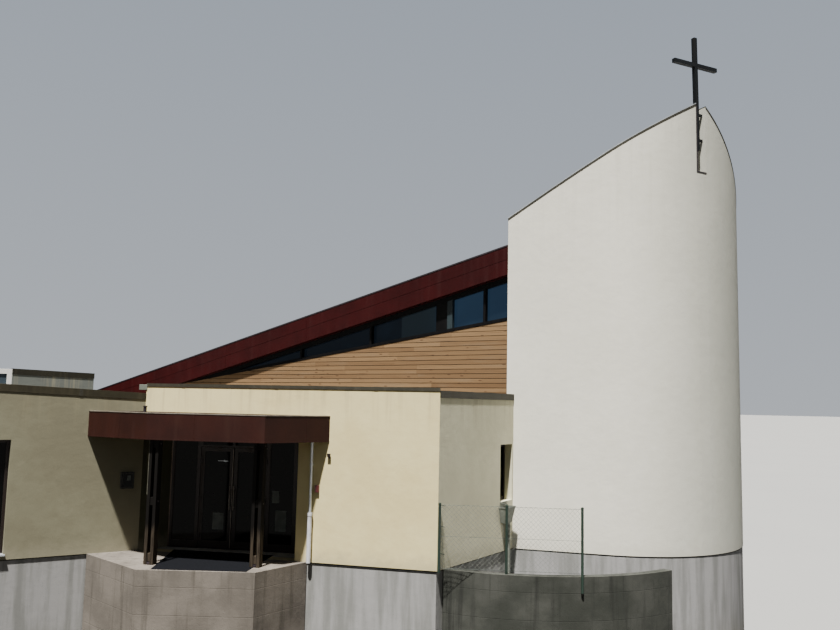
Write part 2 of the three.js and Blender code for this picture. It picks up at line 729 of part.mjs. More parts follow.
// Flat roofs and floors lie between the walls' inner faces
function buildSlabs() {
  const inset = wallThickness + gap;
  const cornerA = innerMeet(annexCorner, annexBearing, sideBearing - 180, -1, inset);
  const cornerB = innerMeet(innerCorner, annexBearing, wingBearing, -1, inset);
  const cornerC = innerMeet(wingEnd, wingBearing, blockBearing, -1, inset);
  const cornerD = polar(polar(hallLeft, blockBearing - 90, inset), blockBearing, -gap);
  const cornerE = polar(hallRight, blockBearing, -gap);
  const slabBack = vergeOverhang + gableThickness;
  const nearTower = polar(towerCorner, gableBearing, gap);
  const nearTowerBack = polar(nearTower, naveBearing, slabBack);
  const westInner = polar(polar(gableEnd, gableBearing, -inset), naveBearing, gableThickness);
  const westFront = polar(polar(gableEnd, gableBearing, -inset), naveBearing, -gap);
  const gableFoot = polar(gableEnd, naveBearing, -gap);
  const linkFoot = polar(gableEnd, blockBearing - 180, inset);
  const linkCorner = polar(meet(linkFoot, wingBearing, hallRight, blockBearing), wingBearing - 180, gap);
  const hallSide = polar(hallRight, wingBearing - 180, gap);
  const sideNear = polar(meet(cornerA, sideBearing, towerCorner, sideBearing + 90), sideBearing, gap);
  const annexOutline = [cornerA, sideNear, polar(nearTower, gableBearing, 40), nearTowerBack, westInner, westFront,
    gableFoot, linkFoot, linkCorner, hallSide, cornerE, polar(cornerB, wingBearing - 180, gap)];
  const roofLow = flatRoofTop - flatRoofThickness;
  add('annex_roof', block(annexOutline, roofLow, flatRoofTop), 'roofing');
  const wingOutline = [polar(cornerB, wingBearing, gap), cornerC, cornerD, polar(cornerE, wingBearing, gap)];
  const eastFoot = polar(polar(hallRight, wingBearing, inset), blockBearing, -gap);
  const roofOutline = [wingOutline[0], cornerC, polar(cornerD, blockBearing, wallThickness),
    polar(eastFoot, blockBearing, wallThickness), eastFoot, wingOutline[3]];
  add('wing_roof', block(roofOutline, roofLow, flatRoofTop), 'roofing');
  const hallOutline = [
    polar(polar(hallLeft, blockBearing - 90, inset), blockBearing, wallThickness + gap),
    innerMeet(hallBackLeft, blockBearing, wingBearing - 180, -1, inset),
    innerMeet(hallBackRight, wingBearing - 180, blockBearing + 180, -1, inset),
    polar(polar(hallRight, blockBearing + 90, inset), blockBearing, wallThickness + gap),
  ];
  const hallFloorOutline = [
    polar(polar(hallLeft, blockBearing - 90, inset), blockBearing, gap),
    hallOutline[1],
    hallOutline[2],
    polar(polar(hallRight, blockBearing + 90, inset), blockBearing, gap),
  ];
  add('hall_roof', block(hallOutline, hallRoofTop - flatRoofThickness, hallRoofTop), 'roofing');
  const lowOutline = [...annexOutline.slice(0, -1), eastFoot, hallFloorOutline[3], hallFloorOutline[2],
    hallFloorOutline[1], cornerC, cornerB];
  add('low_floor', block(lowOutline, -floorThickness, 0), 'concrete');

  const naveRect = [
    polar(nearTowerBack, naveBearing, gap),
    polar(polar(westInner, naveBearing, gap), gableBearing, 0),
    polar(polar(naveBackLeft, gableBearing, -inset), naveBearing, -inset),
    polar(polar(naveBackRight, gableBearing, inset), naveBearing, -inset),
    polar(polar(towerCorner, gableBearing, inset), naveBearing, eastWallStart - 200),
    polar(polar(towerCorner, gableBearing, gap), naveBearing, eastWallStart - 200),
  ];
  const plate = towerPlateOutline();
  const floor = join(block(naveRect, -floorThickness, 0), block(plate, -floorThickness, 0));
  add('nave_floor', floor, 'concrete');
  const westOfLine = bar(towerCorner, naveBearing, -1000, naveDepth, -gap, 4000, 6000, 8000);
  const roofPlate = block(plate, towerFlatRoof - towerRoofThickness, towerFlatRoof);
  add('tower_roof', cut(roofPlate, westOfLine), 'roofing');
}

// Plan of the space inside the tower wall, reaching just past the line of the nave's east wall
function towerPlateOutline() {
  const radius = towerRadius - towerWallThickness - plateClearance;
  const steps = 36;
  const outline = [];
  for (let index = 0; index <= steps; index += 1) {
    outline.push(polar(towerCentre, towerArcStart + (towerArcEnd - 3 - towerArcStart) * index / steps, radius));
  }
  const inset = towerWallThickness + gap;
  const pastLine = polar(towerCorner, gableBearing, 10);
  return [
    ...outline,
    polar(pastLine, naveBearing, eastWallStart - 50),
    polar(pastLine, naveBearing, returnLength + gap),
    polar(polar(towerCorner, gableBearing, -inset), naveBearing, returnLength + gap),
    meet(polar(towerCorner, naveBearing - 90, inset), naveBearing,
      polar(towerCorner, towerFaceBearing + 90, inset), towerFaceBearing),
  ];
}

// Heights along the gable, with the distance measured from the tower's corner
const fasciaTop = (along) => fasciaTopAtTower - roofFall * along;
const fasciaBottom = (along) => Math.max(fasciaTop(along) - fasciaHeight, fasciaLowest);
const roofUnder = (along) => fasciaTop(along) - roofThickness;
const gableTop = (along) => timberTopAtTower - timberFall * along;
const soffitEnd = (fasciaTopAtTower - fasciaHeight - fasciaLowest) / roofFall;

// How far a plan point lies along the gable from the tower's corner
function alongGable([x, y]) {
  const angle = radians(gableBearing);
  return (x - towerCorner[0]) * Math.cos(angle) + (y - towerCorner[1]) * Math.sin(angle);
}

function buildGable() {
  const inner = naveWidth - wallThickness - gap;
  const stops = [gap, inner];
  const timberLine = stops.map((along) => [along, gableTop(along)]);
  const timber = [[inner, flatRoofTop + gap], [gap, flatRoofTop + gap], ...timberLine];
  add('gable_wall', panel(gableStart, gableBearing, timber, 0, gableThickness), 'timber');

  const above = timberLine.map(([along, height]) => [along, height + gap]);
  const under = [inner, gap].map((along) => [along, roofUnder(along) - gap]);
  const places = [0, ...mullionPlaces, clerestoryLength];
  const holes = places.slice(1).map((place, index) => {
    const from = places[index] + mullionWidth / 2 + (index === 0 ? mullionWidth / 2 : 0);
    const to = place - mullionWidth / 2;
    const bottom = (along) => gableTop(along) + sillHeight;
    const top = (along) => fasciaTop(along) - fasciaHeight - clerestoryHead;
    return [[from, bottom(from)], [to, bottom(to)], [to, top(to)], [from, top(from)]];
  });
  const frame = panel(gableStart, gableBearing, [...above, ...under], 0, mullionDepth, holes);
  const sillLine = [gap, sillEnd].map((along) => [along, gableTop(along) + gap]);
  const sillEdge = [...sillLine, ...sillLine.slice().reverse().map(([along, low]) => [along, low + sillHeight])];
  const sill = panel(gableStart, gableBearing, sillEdge, -sillProjection, 10);
  add('clerestory_frame', join(frame, sill), 'darkFrame');

  const glassEnd = clerestoryLength + mullionWidth;
  const glassLow = [2 * gap, glassEnd].map((along) => [along, gableTop(along) + 2 * gap]);
  const glassHigh = [glassEnd, 2 * gap].map((along) => [along, fasciaTop(along) - fasciaHeight + glassLap]);
  const near = mullionDepth + gap;
  const glass = panel(gableStart, gableBearing, [...glassLow, ...glassHigh], near, near + glassThickness);
  add('clerestory_glass', glass, 'glass');
}

function buildNave() {
  const gableEndInner = polar(gableEnd, gableBearing, -wallThickness);
  const eastStart = polar(towerCorner, naveBearing, eastWallStart);
  const eastStartInner = polar(eastStart, gableBearing, wallThickness);
  const walls = {
    nave_west_wall: [gableEnd, naveBackLeft, naveBackLeftInner, gableEndInner],
    nave_back_wall: [naveBackLeft, naveBackRight, naveBackRightInner, naveBackLeftInner],
    nave_east_wall: [naveBackRight, eastStart, eastStartInner, naveBackRightInner],
  };
  const backHoles = northWindowPlaces.map((from) => [from, from + northWindowWidth, sideWindowSill, sideWindowHead]);
  for (const [name, corners] of Object.entries(walls)) {
    const tops = corners.map((corner) => roofUnder(alongGable(corner)) - gap);
    add(name, mitredWall(corners, lowerGround, tops, name === 'nave_back_wall' ? backHoles : []), 'render');
  }
  add('nave_back_window_glass', glassSheet(naveBackLeft, gableBearing - 180, backHoles), 'glass');

  const eaves = naveWidth + eavesOverhang;
  const depth = naveDepth + rearOverhang;
  const roofProfile = [[gap, roofUnder(gap)], [eaves, roofUnder(eaves)],
    [eaves, fasciaTop(eaves) - 20], [gap, fasciaTop(gap) - 20]];
  const roof = panel(towerCorner, gableBearing, roofProfile, fasciaThickness + gap, depth - gap);
  add('nave_roof', roof, 'roofing');

  const front = [[gap, fasciaBottom(gap)], [soffitEnd, fasciaLowest], [eaves, fasciaLowest],
    [eaves, fasciaTop(eaves)], [gap, fasciaTop(gap)]];
  const soffit = [[gap, fasciaBottom(gap)], [soffitEnd, fasciaLowest],
    [soffitEnd, fasciaLowest + soffitThickness], [gap, fasciaBottom(gap) + soffitThickness]];
  const fascia = join(
    panel(towerCorner, gableBearing, front, 0, fasciaThickness),
    panel(towerCorner, gableBearing, soffit, fasciaThickness - 10, vergeOverhang - gap),
  );
  add('verge_fascia', fascia, 'fascia');

  const end = eaves + gap;
  const high = fasciaTop(eaves);
  const low = high - rearFasciaHeight;
  const eavesProfile = [[end, low], [end + fasciaThickness, low], [end + fasciaThickness, high], [end, high]];
  const rearProfile = [[gap, fasciaTop(gap) - rearFasciaHeight], [end + 10, low], [end + 10, high], [gap, fasciaTop(gap)]];
  const edge = join(
    panel(towerCorner, gableBearing, eavesProfile, vergeOverhang + 30, depth + fasciaThickness),
    panel(towerCorner, gableBearing, rearProfile, depth, depth + fasciaThickness),
  );
  add('rear_fascia', edge, 'fascia');
}

// A point of the tower wall: a distance along its outer face and a depth into it.
// Distances under zero lie on the return wall behind the tower's corner.
function towerPoint(along, depth) {
  if (along < 0) {
    return polar(polar(towerCorner, naveBearing, -along), naveBearing - 90, depth);
  }
  if (along === 0) {
    return meet(polar(towerCorner, naveBearing - 90, depth), naveBearing,
      polar(towerCorner, towerFaceBearing + 90, depth), towerFaceBearing);
  }
  if (along <= towerFaceLength) {
    return polar(polar(towerCorner, towerFaceBearing, along), towerFaceBearing + 90, depth);
  }
  const angle = towerArcStart + degrees((along - towerFaceLength) / towerRadius);
  return polar(towerCentre, angle, towerRadius - depth);
}

const towerDistance = (angle) => towerFaceLength + towerRadius * radians(angle - towerArcStart);
const slotPlace = towerDistance(slotAngle);

function rimHeight(along) {
  if (along < 0) {
    return rimAtCorner + returnFall * along;
  }
  if (along < slotPlace) {
    return rimAtCorner + rimRise * along - rimRiseEasing * along ** 2;
  }
  const past = Math.max(along - slotPlace - slotWidth / 2, 0);
  return Math.max(rimPeak - rimFall * past - rimFallEasing * past ** 2, rimLowest);
}

function towerBand(stops, outerDepth, innerDepth, lowAt, highAt) {
  const outer = stops.map((along) => towerPoint(along, outerDepth));
  const inner = stops.map((along) => towerPoint(along, innerDepth));
  return loft(outer, inner, stops.map(lowAt), stops.map(highAt));
}

function evenStops(from, to, step = towerStep) {
  const count = Math.ceil((to - from) / step);
  return Array.from({ length: count + 1 }, (unused, index) => from + (to - from) * index / count);
}

// All bands of the tower wall bend at the same stops: the face, each joint and twice inside the slot.
const slotLeft = slotPlace - slotWidth / 3;
const slotRight = slotPlace + slotWidth / 3;
const jointPlaces = towerJoints.map(towerDistance);
const bends = [jointPlaces[0], jointPlaces[1], slotLeft, slotRight, ...jointPlaces.slice(2)];
const roundStops = bends.slice(1).flatMap((place, index) => evenStops(bends[index], place));
const towerStops = [...evenStops(0, jointPlaces[0], towerFaceStep), ...roundStops];

function stopsBetween(from, to) {
  const clear = 1;
  const inside = towerStops.filter((place) => place > from + clear && place < to - clear);
  const single = inside.filter((place, index) => index === 0 || place > inside[index - 1] + clear);
  return [from, ...single, to];
}

function buildTower() {
  const faceStops = [-returnLength, ...stopsBetween(0, towerFaceLength - half)];
  const segments = [['tower_front_wall', faceStops]];
  for (let index = 0; index + 1 < towerJoints.length; index += 1) {
    const from = towerDistance(towerJoints[index]) + half;
    const to = towerDistance(towerJoints[index + 1]) - half;
    segments.push([`tower_round_wall_${index + 1}`, stopsBetween(from, to)]);
  }
  const slotFace = polar(towerCentre, slotAngle, towerRadius);
  const slot = bar(slotFace, slotAngle + 90, -slotWidth / 2, slotWidth / 2, -100, towerWallThickness + 100,
    slotSill, rimPeak + 500);
  const westOfLine = bar(towerCorner, naveBearing, 1000, naveDepth, -gap, 4000, lowerGround - 10, rimPeak);
  for (const [name, stops] of segments) {
    const wall = towerBand(stops, 0, towerWallThickness, () => lowerGround, rimHeight);
    const pastEnds = [stops[0] - toolRun, ...stops, stops[stops.length - 1] + toolRun];
    const step = towerBand(pastEnds, -60, renderStep, () => lowerGround - 10, () => 0);
    const tools = [step];
    if (name === 'tower_round_wall_2') {
      tools.push(slot);
    }
    if (name === 'tower_round_wall_4') {
      tools.push(westOfLine);
    }
    add(name, cut(wall, ...tools), 'towerRender');
  }
  const cappings = {
    tower_capping_rise: [-returnLength, ...stopsBetween(0, slotLeft)],
    tower_capping_fall: stopsBetween(slotRight, towerDistance(towerArcEnd)),
  };
  const outer = -cappingOverhang;
  const inner = towerWallThickness + cappingOverhang;
  for (const [name, stops] of Object.entries(cappings)) {
    const sections = stops.map((along) => {
      const drip = rimHeight(along) - cappingDrip;
      const under = rimHeight(along) + gap;
      const top = rimHeight(along) + cappingHeight;
      const profile = [[inner, drip], [towerWallThickness + gap, drip], [towerWallThickness + gap, under],
        [-gap, under], [-gap, drip], [outer, drip], [outer, top], [inner, top]];
      return profile.map(([depth, height]) => [...towerPoint(along, depth), height]);
    });
    const channel = sweep(sections, [[0, 1, 2, 7], [7, 2, 3, 6], [3, 4, 5, 6]], [6]);
    const clear = bar(towerCorner, naveBearing, -500, naveDepth, -gap, 4000, towerFlatRoof - 500, crossTop);
    add(name, cut(channel, clear, slot), 'coping');
  }
}

function buildCross() {
  const height = crossTop - crossFoot;
  const post = new THREE.BoxGeometry(crossPost, crossPost, height).translate(0, 0, height / 2);
  const arm = new THREE.BoxGeometry(crossArmLength, crossArm, crossArm).translate(0, 0, crossArmHeight - crossFoot);
  const upright = join(post, arm).rotateY(-radians(crossLean)).translate(0, 0, crossFoot);
  const width = slotWidth / 2 - gap;
  const brackets = crossBracketHeights.map((level) => (
    new THREE.BoxGeometry(width, crossBracketDepth, crossBracketThickness).translate(width / 2, 0, level)));
  const cross = join(upright, ...brackets);
  const centre = polar(towerCentre, slotAngle, towerRadius - towerWallThickness / 2);
  cross.rotateZ(radians(slotAngle + 90)).translate(centre[0], centre[1], 0);
  add('tower_cross', cross, 'steel');
}

// Copings follow the mitre lines of the walls under them; each pair is an outer and an inner wall corner.
function coping(pairs, lows, height) {
  const outside = -copingOverhang / wallThickness;
  const inside = 1 + copingOverhang / wallThickness;
  const outer = pairs.map(([corner, inner]) => between(corner, inner, outside));
  const inner = pairs.map(([corner, cornerInner]) => between(corner, cornerInner, inside));
  return loft(outer, inner, lows.map((low) => low + gap), lows.map((low) => low + height));
}

function shifted(pair, bearing, distance) {
  return pair.map((point) => polar(point, bearing, distance));
}

function buildCopings() {
  const atCorner = [annexCorner, annexCornerInner];
  const atInner = [innerCorner, innerCornerInner];
  const front = [shifted(atCorner, annexBearing, gap), shifted(atInner, annexBearing, -gap)];
  add('annex_front_coping', coping(front, [annexTop, annexTop], frontCopingHeight), 'coping');

  const sideEnd = meet(annexCorner, sideBearing, towerCorner, towerFaceBearing);
  const sideEndInner = meet(annexCornerInner, sideBearing, towerCorner, towerFaceBearing);
  const side = [shifted(atCorner, sideBearing, gap), shifted([sideEnd, sideEndInner], sideBearing, -2 * gap)];
  const sideBand = coping(side, [sideCopingBottom, sideCopingBottom], sideCopingHeight);
  const tower = towerBand([-returnLength, 0, towerFaceLength], -gap, towerWallThickness, () => 3000, () => 4000);
  const past = block([polar(towerCorner, naveBearing, 0.3), polar(towerCorner, naveBearing, returnLength),
    polar(polar(towerCorner, naveBearing, returnLength), gableBearing, 1000),
    polar(polar(towerCorner, naveBearing, 0.3), gableBearing, 1000)], 3000, 4000);
  add('annex_side_coping', cut(sideBand, tower, past), 'coping');

  const atWingEnd = [wingEnd, wingEndInner];
  const atHall = [hallLeft, polar(hallLeft, blockBearing - 90, wallThickness)];
  const wing = [shifted(atInner, wingBearing, gap), atWingEnd, shifted(atHall, blockBearing, -gap)];
  const wingLows = [wingTopAtEntrance, wingTopAtEnd, wingTopAtEnd];
  add('wing_coping', coping(wing, wingLows, wingCopingHeight), 'coping');

  const hallBearing = wingBearing - 180;
  const frontAt = (along) => polar(hallLeft, hallBearing, along);
  const frontPair = (along) => [frontAt(along), polar(frontAt(along), blockBearing, wallThickness)];
  const hallLeftInner = innerMeet(hallLeft, blockBearing - 180, hallBearing, 1);
  const hallRightInner = innerMeet(hallRight, blockBearing + 180, wingBearing, -1);
  const ring = [frontPair(hallWindowTo), [hallRight, hallRightInner], [hallBackRight, hallBackRightInner],
    [hallBackLeft, hallBackLeftInner], [hallLeft, hallLeftInner], frontPair(hallWindowFrom)];
  const ringLows = [hallTopAt(hallWindowTo), hallTopRight, hallTopRight, hallTopLeft, hallTopLeft, hallTopLeft];
  add('hall_coping', coping(ring, ringLows, hallCopingHeight), 'coping');
}

function buildRainwater() {
  const [left, right] = hopperPlaces;
  const [outletLeft, outletRight] = hopperOutlet;
  const profile = [[left, hopperTop], [outletLeft, hopperBottom], [outletRight, hopperBottom], [right, hopperTop]];
  const hopper = panel(annexCorner, sideBearing, profile, gap, hopperDepth);
  const place = polar(polar(annexCorner, sideBearing, sidePipePlace), sideBearing - 90, hopperDepth / 2);
  const pipe = cylinder(place, sidePipeRadius, lowerGround, hopperBottom + 50);
  add('side_rain_hopper', join(hopper, pipe), 'zinc');

  const onWall = polar(annexCorner, annexBearing, frontPipePlace);
  const centre = polar(onWall, annexBearing + 90, frontPipeOffset);
  const parts = [
    cylinder(centre, frontPipeRadius, frontPipeFoot - 20, canopyBottom - gap),
    cylinder(centre, frontPipeFootRadius, gap, frontPipeFoot),
  ];
  for (const level of [500, 1870]) {
    parts.push(bar(onWall, annexBearing, -15, 15, gap, frontPipeOffset, level, level + 30));
  }
  add('front_downpipe', join(...parts), 'zinc');
}

function arc(centre, radius, from, to, count) {
  return Array.from({ length: count + 1 }, (unused, index) => polar(centre, from + (to - from) * index / count, radius));
}

function buildLightWell() {
  const outer = arc(wellCentre, wellRadius, wellStart, wellEnd, wellSegments);
  const inner = arc(wellCentre, wellRadius - wellThickness, wellStart, wellEnd, wellSegments);
  const heights = outer.map(() => -gap);
  const wall = loft(outer, inner, outer.map(() => lowerGround), heights);
  const building = bar(annexCorner, sideBearing, -3000, 3000, renderStep - gap, 2000, lowerGround - 10, 10);
  add('light_well_wall', cut(wall, building), 'weatheredConcrete');

  const onWall = polar(annexCorner, sideBearing, fencePostOnWall);
  const [topAngle, faceAngle] = fencePostAngles;
  const posts = [
    [polar(onWall, sideBearing - 90, fencePostRadius + gap), -20],
    [polar(wellCentre, topAngle, wellRadius - wellThickness / 2), 0],
    [polar(wellCentre, faceAngle, wellRadius + fencePostRadius + gap), fencePostLowest],
  ];
  const wires = (a, b, shorten) => fenceWireHeights.map((height) => {
    const end = polar(b, bearingOf(b, a), shorten);
    return rod([...a, height], [...end, height], fenceWireRadius);
  });
  const post = ([place, low]) => cylinder(place, fencePostRadius, low, fenceTop);
  const bayOne = join(post(posts[0]), post(posts[1]), ...wires(posts[0][0], posts[1][0], 0));
  const bayTwo = join(post(posts[2]), ...wires(posts[2][0], posts[1][0], fencePostRadius + 2 * gap));
  add('fence_bay_left', bayOne, 'fence');
  add('fence_bay_right', bayTwo, 'fence');
}

buildAnnex();
buildRecess();
buildScreen();
buildPlatform();
buildCanopy();
buildWing();
buildSlabs();
buildGable();
buildNave();
buildTower();
buildCross();
buildCopings();
buildRainwater();
buildLightWell();

// The part stands on the lower ground, with its plan centred on the origin.
const bounds = new THREE.Box3().setFromObject(church);
const middle = bounds.getCenter(new THREE.Vector3());
church.position.set(-middle.x, -middle.y, -lowerGround);

export default church;
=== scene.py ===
import math

import bmesh
import bpy
import numpy as np
from mathutils import Matrix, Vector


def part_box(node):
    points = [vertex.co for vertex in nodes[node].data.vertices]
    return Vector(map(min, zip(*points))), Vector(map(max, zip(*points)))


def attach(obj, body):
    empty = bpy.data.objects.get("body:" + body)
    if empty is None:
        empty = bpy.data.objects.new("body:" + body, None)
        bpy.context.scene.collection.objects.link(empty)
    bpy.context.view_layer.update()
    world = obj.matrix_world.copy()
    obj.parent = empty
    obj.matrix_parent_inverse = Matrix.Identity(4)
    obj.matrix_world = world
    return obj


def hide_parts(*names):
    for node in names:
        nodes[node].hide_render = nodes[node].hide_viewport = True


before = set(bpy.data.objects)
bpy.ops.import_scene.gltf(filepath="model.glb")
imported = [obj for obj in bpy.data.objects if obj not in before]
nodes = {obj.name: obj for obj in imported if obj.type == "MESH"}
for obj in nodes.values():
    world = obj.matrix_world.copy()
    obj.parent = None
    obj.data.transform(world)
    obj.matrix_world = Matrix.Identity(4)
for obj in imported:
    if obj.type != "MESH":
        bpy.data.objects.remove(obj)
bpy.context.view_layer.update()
print("frame loaded:", len(nodes), "nodes")

# Camera, lamps, sky and floor
camera = {
    "place": (4.12597, -26.31707, 5.4),
    "pitch": 6.2,       # degrees that it looks up
    "roll": 1.2,        # degrees about its own axis
    "lens": 35.571, "sensor": 36.0,   # mm
    "reach": 3000.0,
}
suns = {
    "key": {"strength": 13.9, "colour": (1.0, 0.975, 0.925), "angle": 2.0, "from": (-0.112, -0.341, 0.933)},
    "fill": {"strength": 0.2, "colour": (0.93, 0.96, 1.0), "angle": 40.0, "from": (0.93, -0.16, 0.34)},
}
sunDistance = 60.0   # of the lamp objects; the light is the same from any distance
sky = {
    "ground": (0.30, 0.25, 0.15), "above": (0.86, 0.90, 0.97), "aboveFrom": 0.08, "strength": 0.2,
    "backdropLow": (0.50, 0.53, 0.57), "backdropHigh": (0.36, 0.41, 0.48), "backdropHighFrom": 0.5,
}
stageFloor = {"size": 3000.0, "light": (0.31, 0.31, 0.30), "dark": (0.28, 0.28, 0.275), "roughness": 0.95}


def stand(name, data, columns):
    # a new object that has the columns as its three axes and its place
    made = bpy.data.objects.new(name, data)
    bpy.context.scene.collection.objects.link(made)
    made.matrix_world = Matrix([*np.stack(columns, axis=1).tolist(), [0.0, 0.0, 0.0, 1.0]])
    return made


def makeCamera(s):
    # The view is +Y turned up by the pitch; the picture's right and up turn about it by the roll.
    pitch, roll = math.radians(s["pitch"]), math.radians(s["roll"])
    forward = np.array([0.0, math.cos(pitch), math.sin(pitch)])
    upright = np.array([0.0, -math.sin(pitch), math.cos(pitch)])
    level = np.array([1.0, 0.0, 0.0])
    right = math.cos(roll) * level + math.sin(roll) * upright
    up = math.cos(roll) * upright - math.sin(roll) * level
    data = bpy.data.cameras.new("camera")
    data.lens, data.sensor_width, data.clip_end = s["lens"], s["sensor"], s["reach"]
    bpy.context.scene.camera = stand("camera", data, [right, up, -forward, np.array(s["place"])])


def makeSun(name, s):
    # A sun lamp shines along its own -Z, so its Z axis points to where the light comes from.
    data = bpy.data.lights.new(name, "SUN")
    data.energy, data.color, data.angle = s["strength"], s["colour"], math.radians(s["angle"])
    axis = np.array(s["from"]) / np.linalg.norm(s["from"])
    side = np.cross((0.0, 1.0, 0.0), axis)
    side /= np.linalg.norm(side)
    stand(name, data, [side, np.cross(axis, side), axis, axis * sunDistance])


# Shader maths
class Value:
    # One socket of a material; an expression on values adds its Math nodes.
    def __init__(self, paint, socket):
        self.paint, self.socket = paint, socket

    def maths(self, operation, *terms):
        return self.paint.node("ShaderNodeMath", {"operation": operation}, dict(enumerate(terms)))

    def __add__(self, other):
        return self.maths("ADD", self, other)

    def __radd__(self, other):
        return self.maths("ADD", other, self)

    def __sub__(self, other):
        return self.maths("SUBTRACT", self, other)

    def __rsub__(self, other):
        return self.maths("SUBTRACT", other, self)

    def __mul__(self, other):
        return self.maths("MULTIPLY", self, other)

    def __rmul__(self, other):
        return self.maths("MULTIPLY", other, self)

    def __truediv__(self, other):
        return self.maths("DIVIDE", self, other)

    def __lt__(self, other):
        return self.maths("LESS_THAN", self, other)

    def __gt__(self, other):
        return self.maths("GREATER_THAN", self, other)

    def fraction(self):
        return self.maths("FRACT", self)

    def size(self):
        return self.maths("ABSOLUTE", self)

    def ease(self, low, high):
        # 0 at the first value and 1 at the second, eased between them
        settings = {"interpolation_type": "SMOOTHSTEP"}
        return self.paint.node("ShaderNodeMapRange", settings, {0: self, 1: low, 2: high, 3: 0.0, 4: 1.0})


class Paint:
    # One material and the nodes that it is made of.
    def __init__(self, name):
        self.material = bpy.data.materials.new(name)
        self.material.use_nodes = True
        self.tree = self.material.node_tree
        self.tree.nodes.clear()
        self.place = self.node("ShaderNodeTexCoord", {}, {}, "Object")

    def node(self, kind, settings, values, output=0):
        made = self.tree.nodes.new(kind)
        for key, setting in settings.items():
            setattr(made, key, setting)
        for key, value in values.items():
            if isinstance(value, Value):
                self.tree.links.new(value.socket, made.inputs[key])
            else:
                made.inputs[key].default_value = value
        return Value(self, made.outputs[output] if made.outputs else None)

    def axis(self, name, place=None):
        return self.node("ShaderNodeSeparateXYZ", {}, {0: place or self.place}, name)

    def turned(self, degrees):
        # the coordinates with X along a wall of that bearing
        values = {"Vector": self.place, "Rotation": (0.0, 0.0, math.radians(-degrees))}
        return self.node("ShaderNodeMapping", {}, values)

    def stretched(self, scale, place=None):
        return self.node("ShaderNodeMapping", {}, {"Vector": place or self.place, "Scale": scale})

    def noise(self, scale, detail=3.0, place=None, roughness=0.55, seed=None):
        values = {"Vector": place or self.place, "Scale": scale, "Detail": detail, "Roughness": roughness}
        if seed is not None:
            values["W"] = seed
        settings = {"noise_dimensions": "3D" if seed is None else "4D"}
        return self.node("ShaderNodeTexNoise", settings, values, "Fac")

    def cells(self, scale, place=None, output="Distance"):
        values = {"Vector": place or self.place, "Scale": scale}
        return self.node("ShaderNodeTexVoronoi", {}, values, output)

    def mix(self, mask, first, second, how="MIX"):
        settings = {"data_type": "RGBA", "blend_type": how}
        colours = [value if isinstance(value, Value) else (*value, 1.0) for value in (first, second)]
        return self.node("ShaderNodeMix", settings, {0: mask, 6: colours[0], 7: colours[1]}, 2)

    def bump(self, height, distance, under=None):
        values = {"Height": height, "Distance": distance}
        if under is not None:
            values["Normal"] = under
        return self.node("ShaderNodeBump", {}, values)

    def finish(self, colour, roughness, normal=None, **fixed):
        # the shader with its varying inputs, and constants on its own sockets
        values = {"Base Color": colour, "Roughness": roughness}
        if normal is not None:
            values["Normal"] = normal
        values.update({name.replace("_", " "): value for name, value in fixed.items()})
        shader = self.node("ShaderNodeBsdfPrincipled", {}, values)
        self.node("ShaderNodeOutputMaterial", {}, {"Surface": shader})


def tone(red, green, blue):
    # A colour given as a screen shows it, 0 to 255, becomes the light that a shader works with.
    shown = np.array([red, green, blue]) / 255.0
    return tuple(np.where(shown <= 0.04045, shown / 12.92, ((shown + 0.055) / 1.055) ** 2.4).tolist())


floorLevel = 2.3   # height of the entrance floor over the lowest ground

# Rendered walls: what all have, and what each has for itself; top is the height that the runs hang from
renderFinish = {
    "light": tone(223, 211, 178), "dark": tone(213, 200, 165), "runColour": tone(150, 141, 112),
    "runs": 0.35, "runReach": 1.1, "splashColour": tone(150, 143, 122), "splash": 0.4,
    "plinthLight": tone(150, 149, 148), "plinthDark": tone(124, 124, 121), "pore": tone(96, 95, 92),
    "damp": tone(112, 108, 96), "stepShadeColour": tone(58, 56, 52), "stepShadeHeight": 0.025, "grain": 0.0012,
    "trowel": 0.004,
}
renders = {
    "annex render": {"top": 5.675, "light": tone(226, 212, 160), "dark": tone(216, 201, 148)},
    "side render": {"top": 5.55, "light": tone(216, 212, 184), "dark": tone(204, 200, 172)},
    "wing render": {"top": 5.45, "light": tone(129, 126, 105), "dark": tone(119, 115, 95), "runs": 0.25},
    # the recess walls: a darker copy of the annex render, painted shade of the canopy and the recess
    "shaded recess render": {"top": 5.45, "light": tone(68, 68, 52), "dark": tone(60, 60, 45), "runs": 0.25},
    "hall front render": {"top": 6.05, "light": tone(94, 98, 93), "dark": tone(87, 90, 86), "runs": 0.5},
    "hall render": {"top": 6.05, "light": tone(170, 168, 152), "dark": tone(158, 156, 140), "runs": 0.5},
    "nave render": {"top": 6.4, "runs": 0.3},
}
towerRender = {
    "light": tone(231, 228, 215), "dark": tone(224, 221, 207), "runColour": tone(176, 172, 156),
    "top": 12.6, "runReach": 5.0, "runs": 0.22, "splash": 0.25, "splashColour": tone(176, 172, 158),
    "plinthLight": tone(152, 151, 151), "plinthDark": tone(126, 126, 124),
    # the last row is painted shade that darkens the round wall on its side away from the sun
    "shadeBearings": (-106.0, -45.0), "silveringAndShadeShare": 0.58, "shadeColour": tone(146, 150, 141),
}


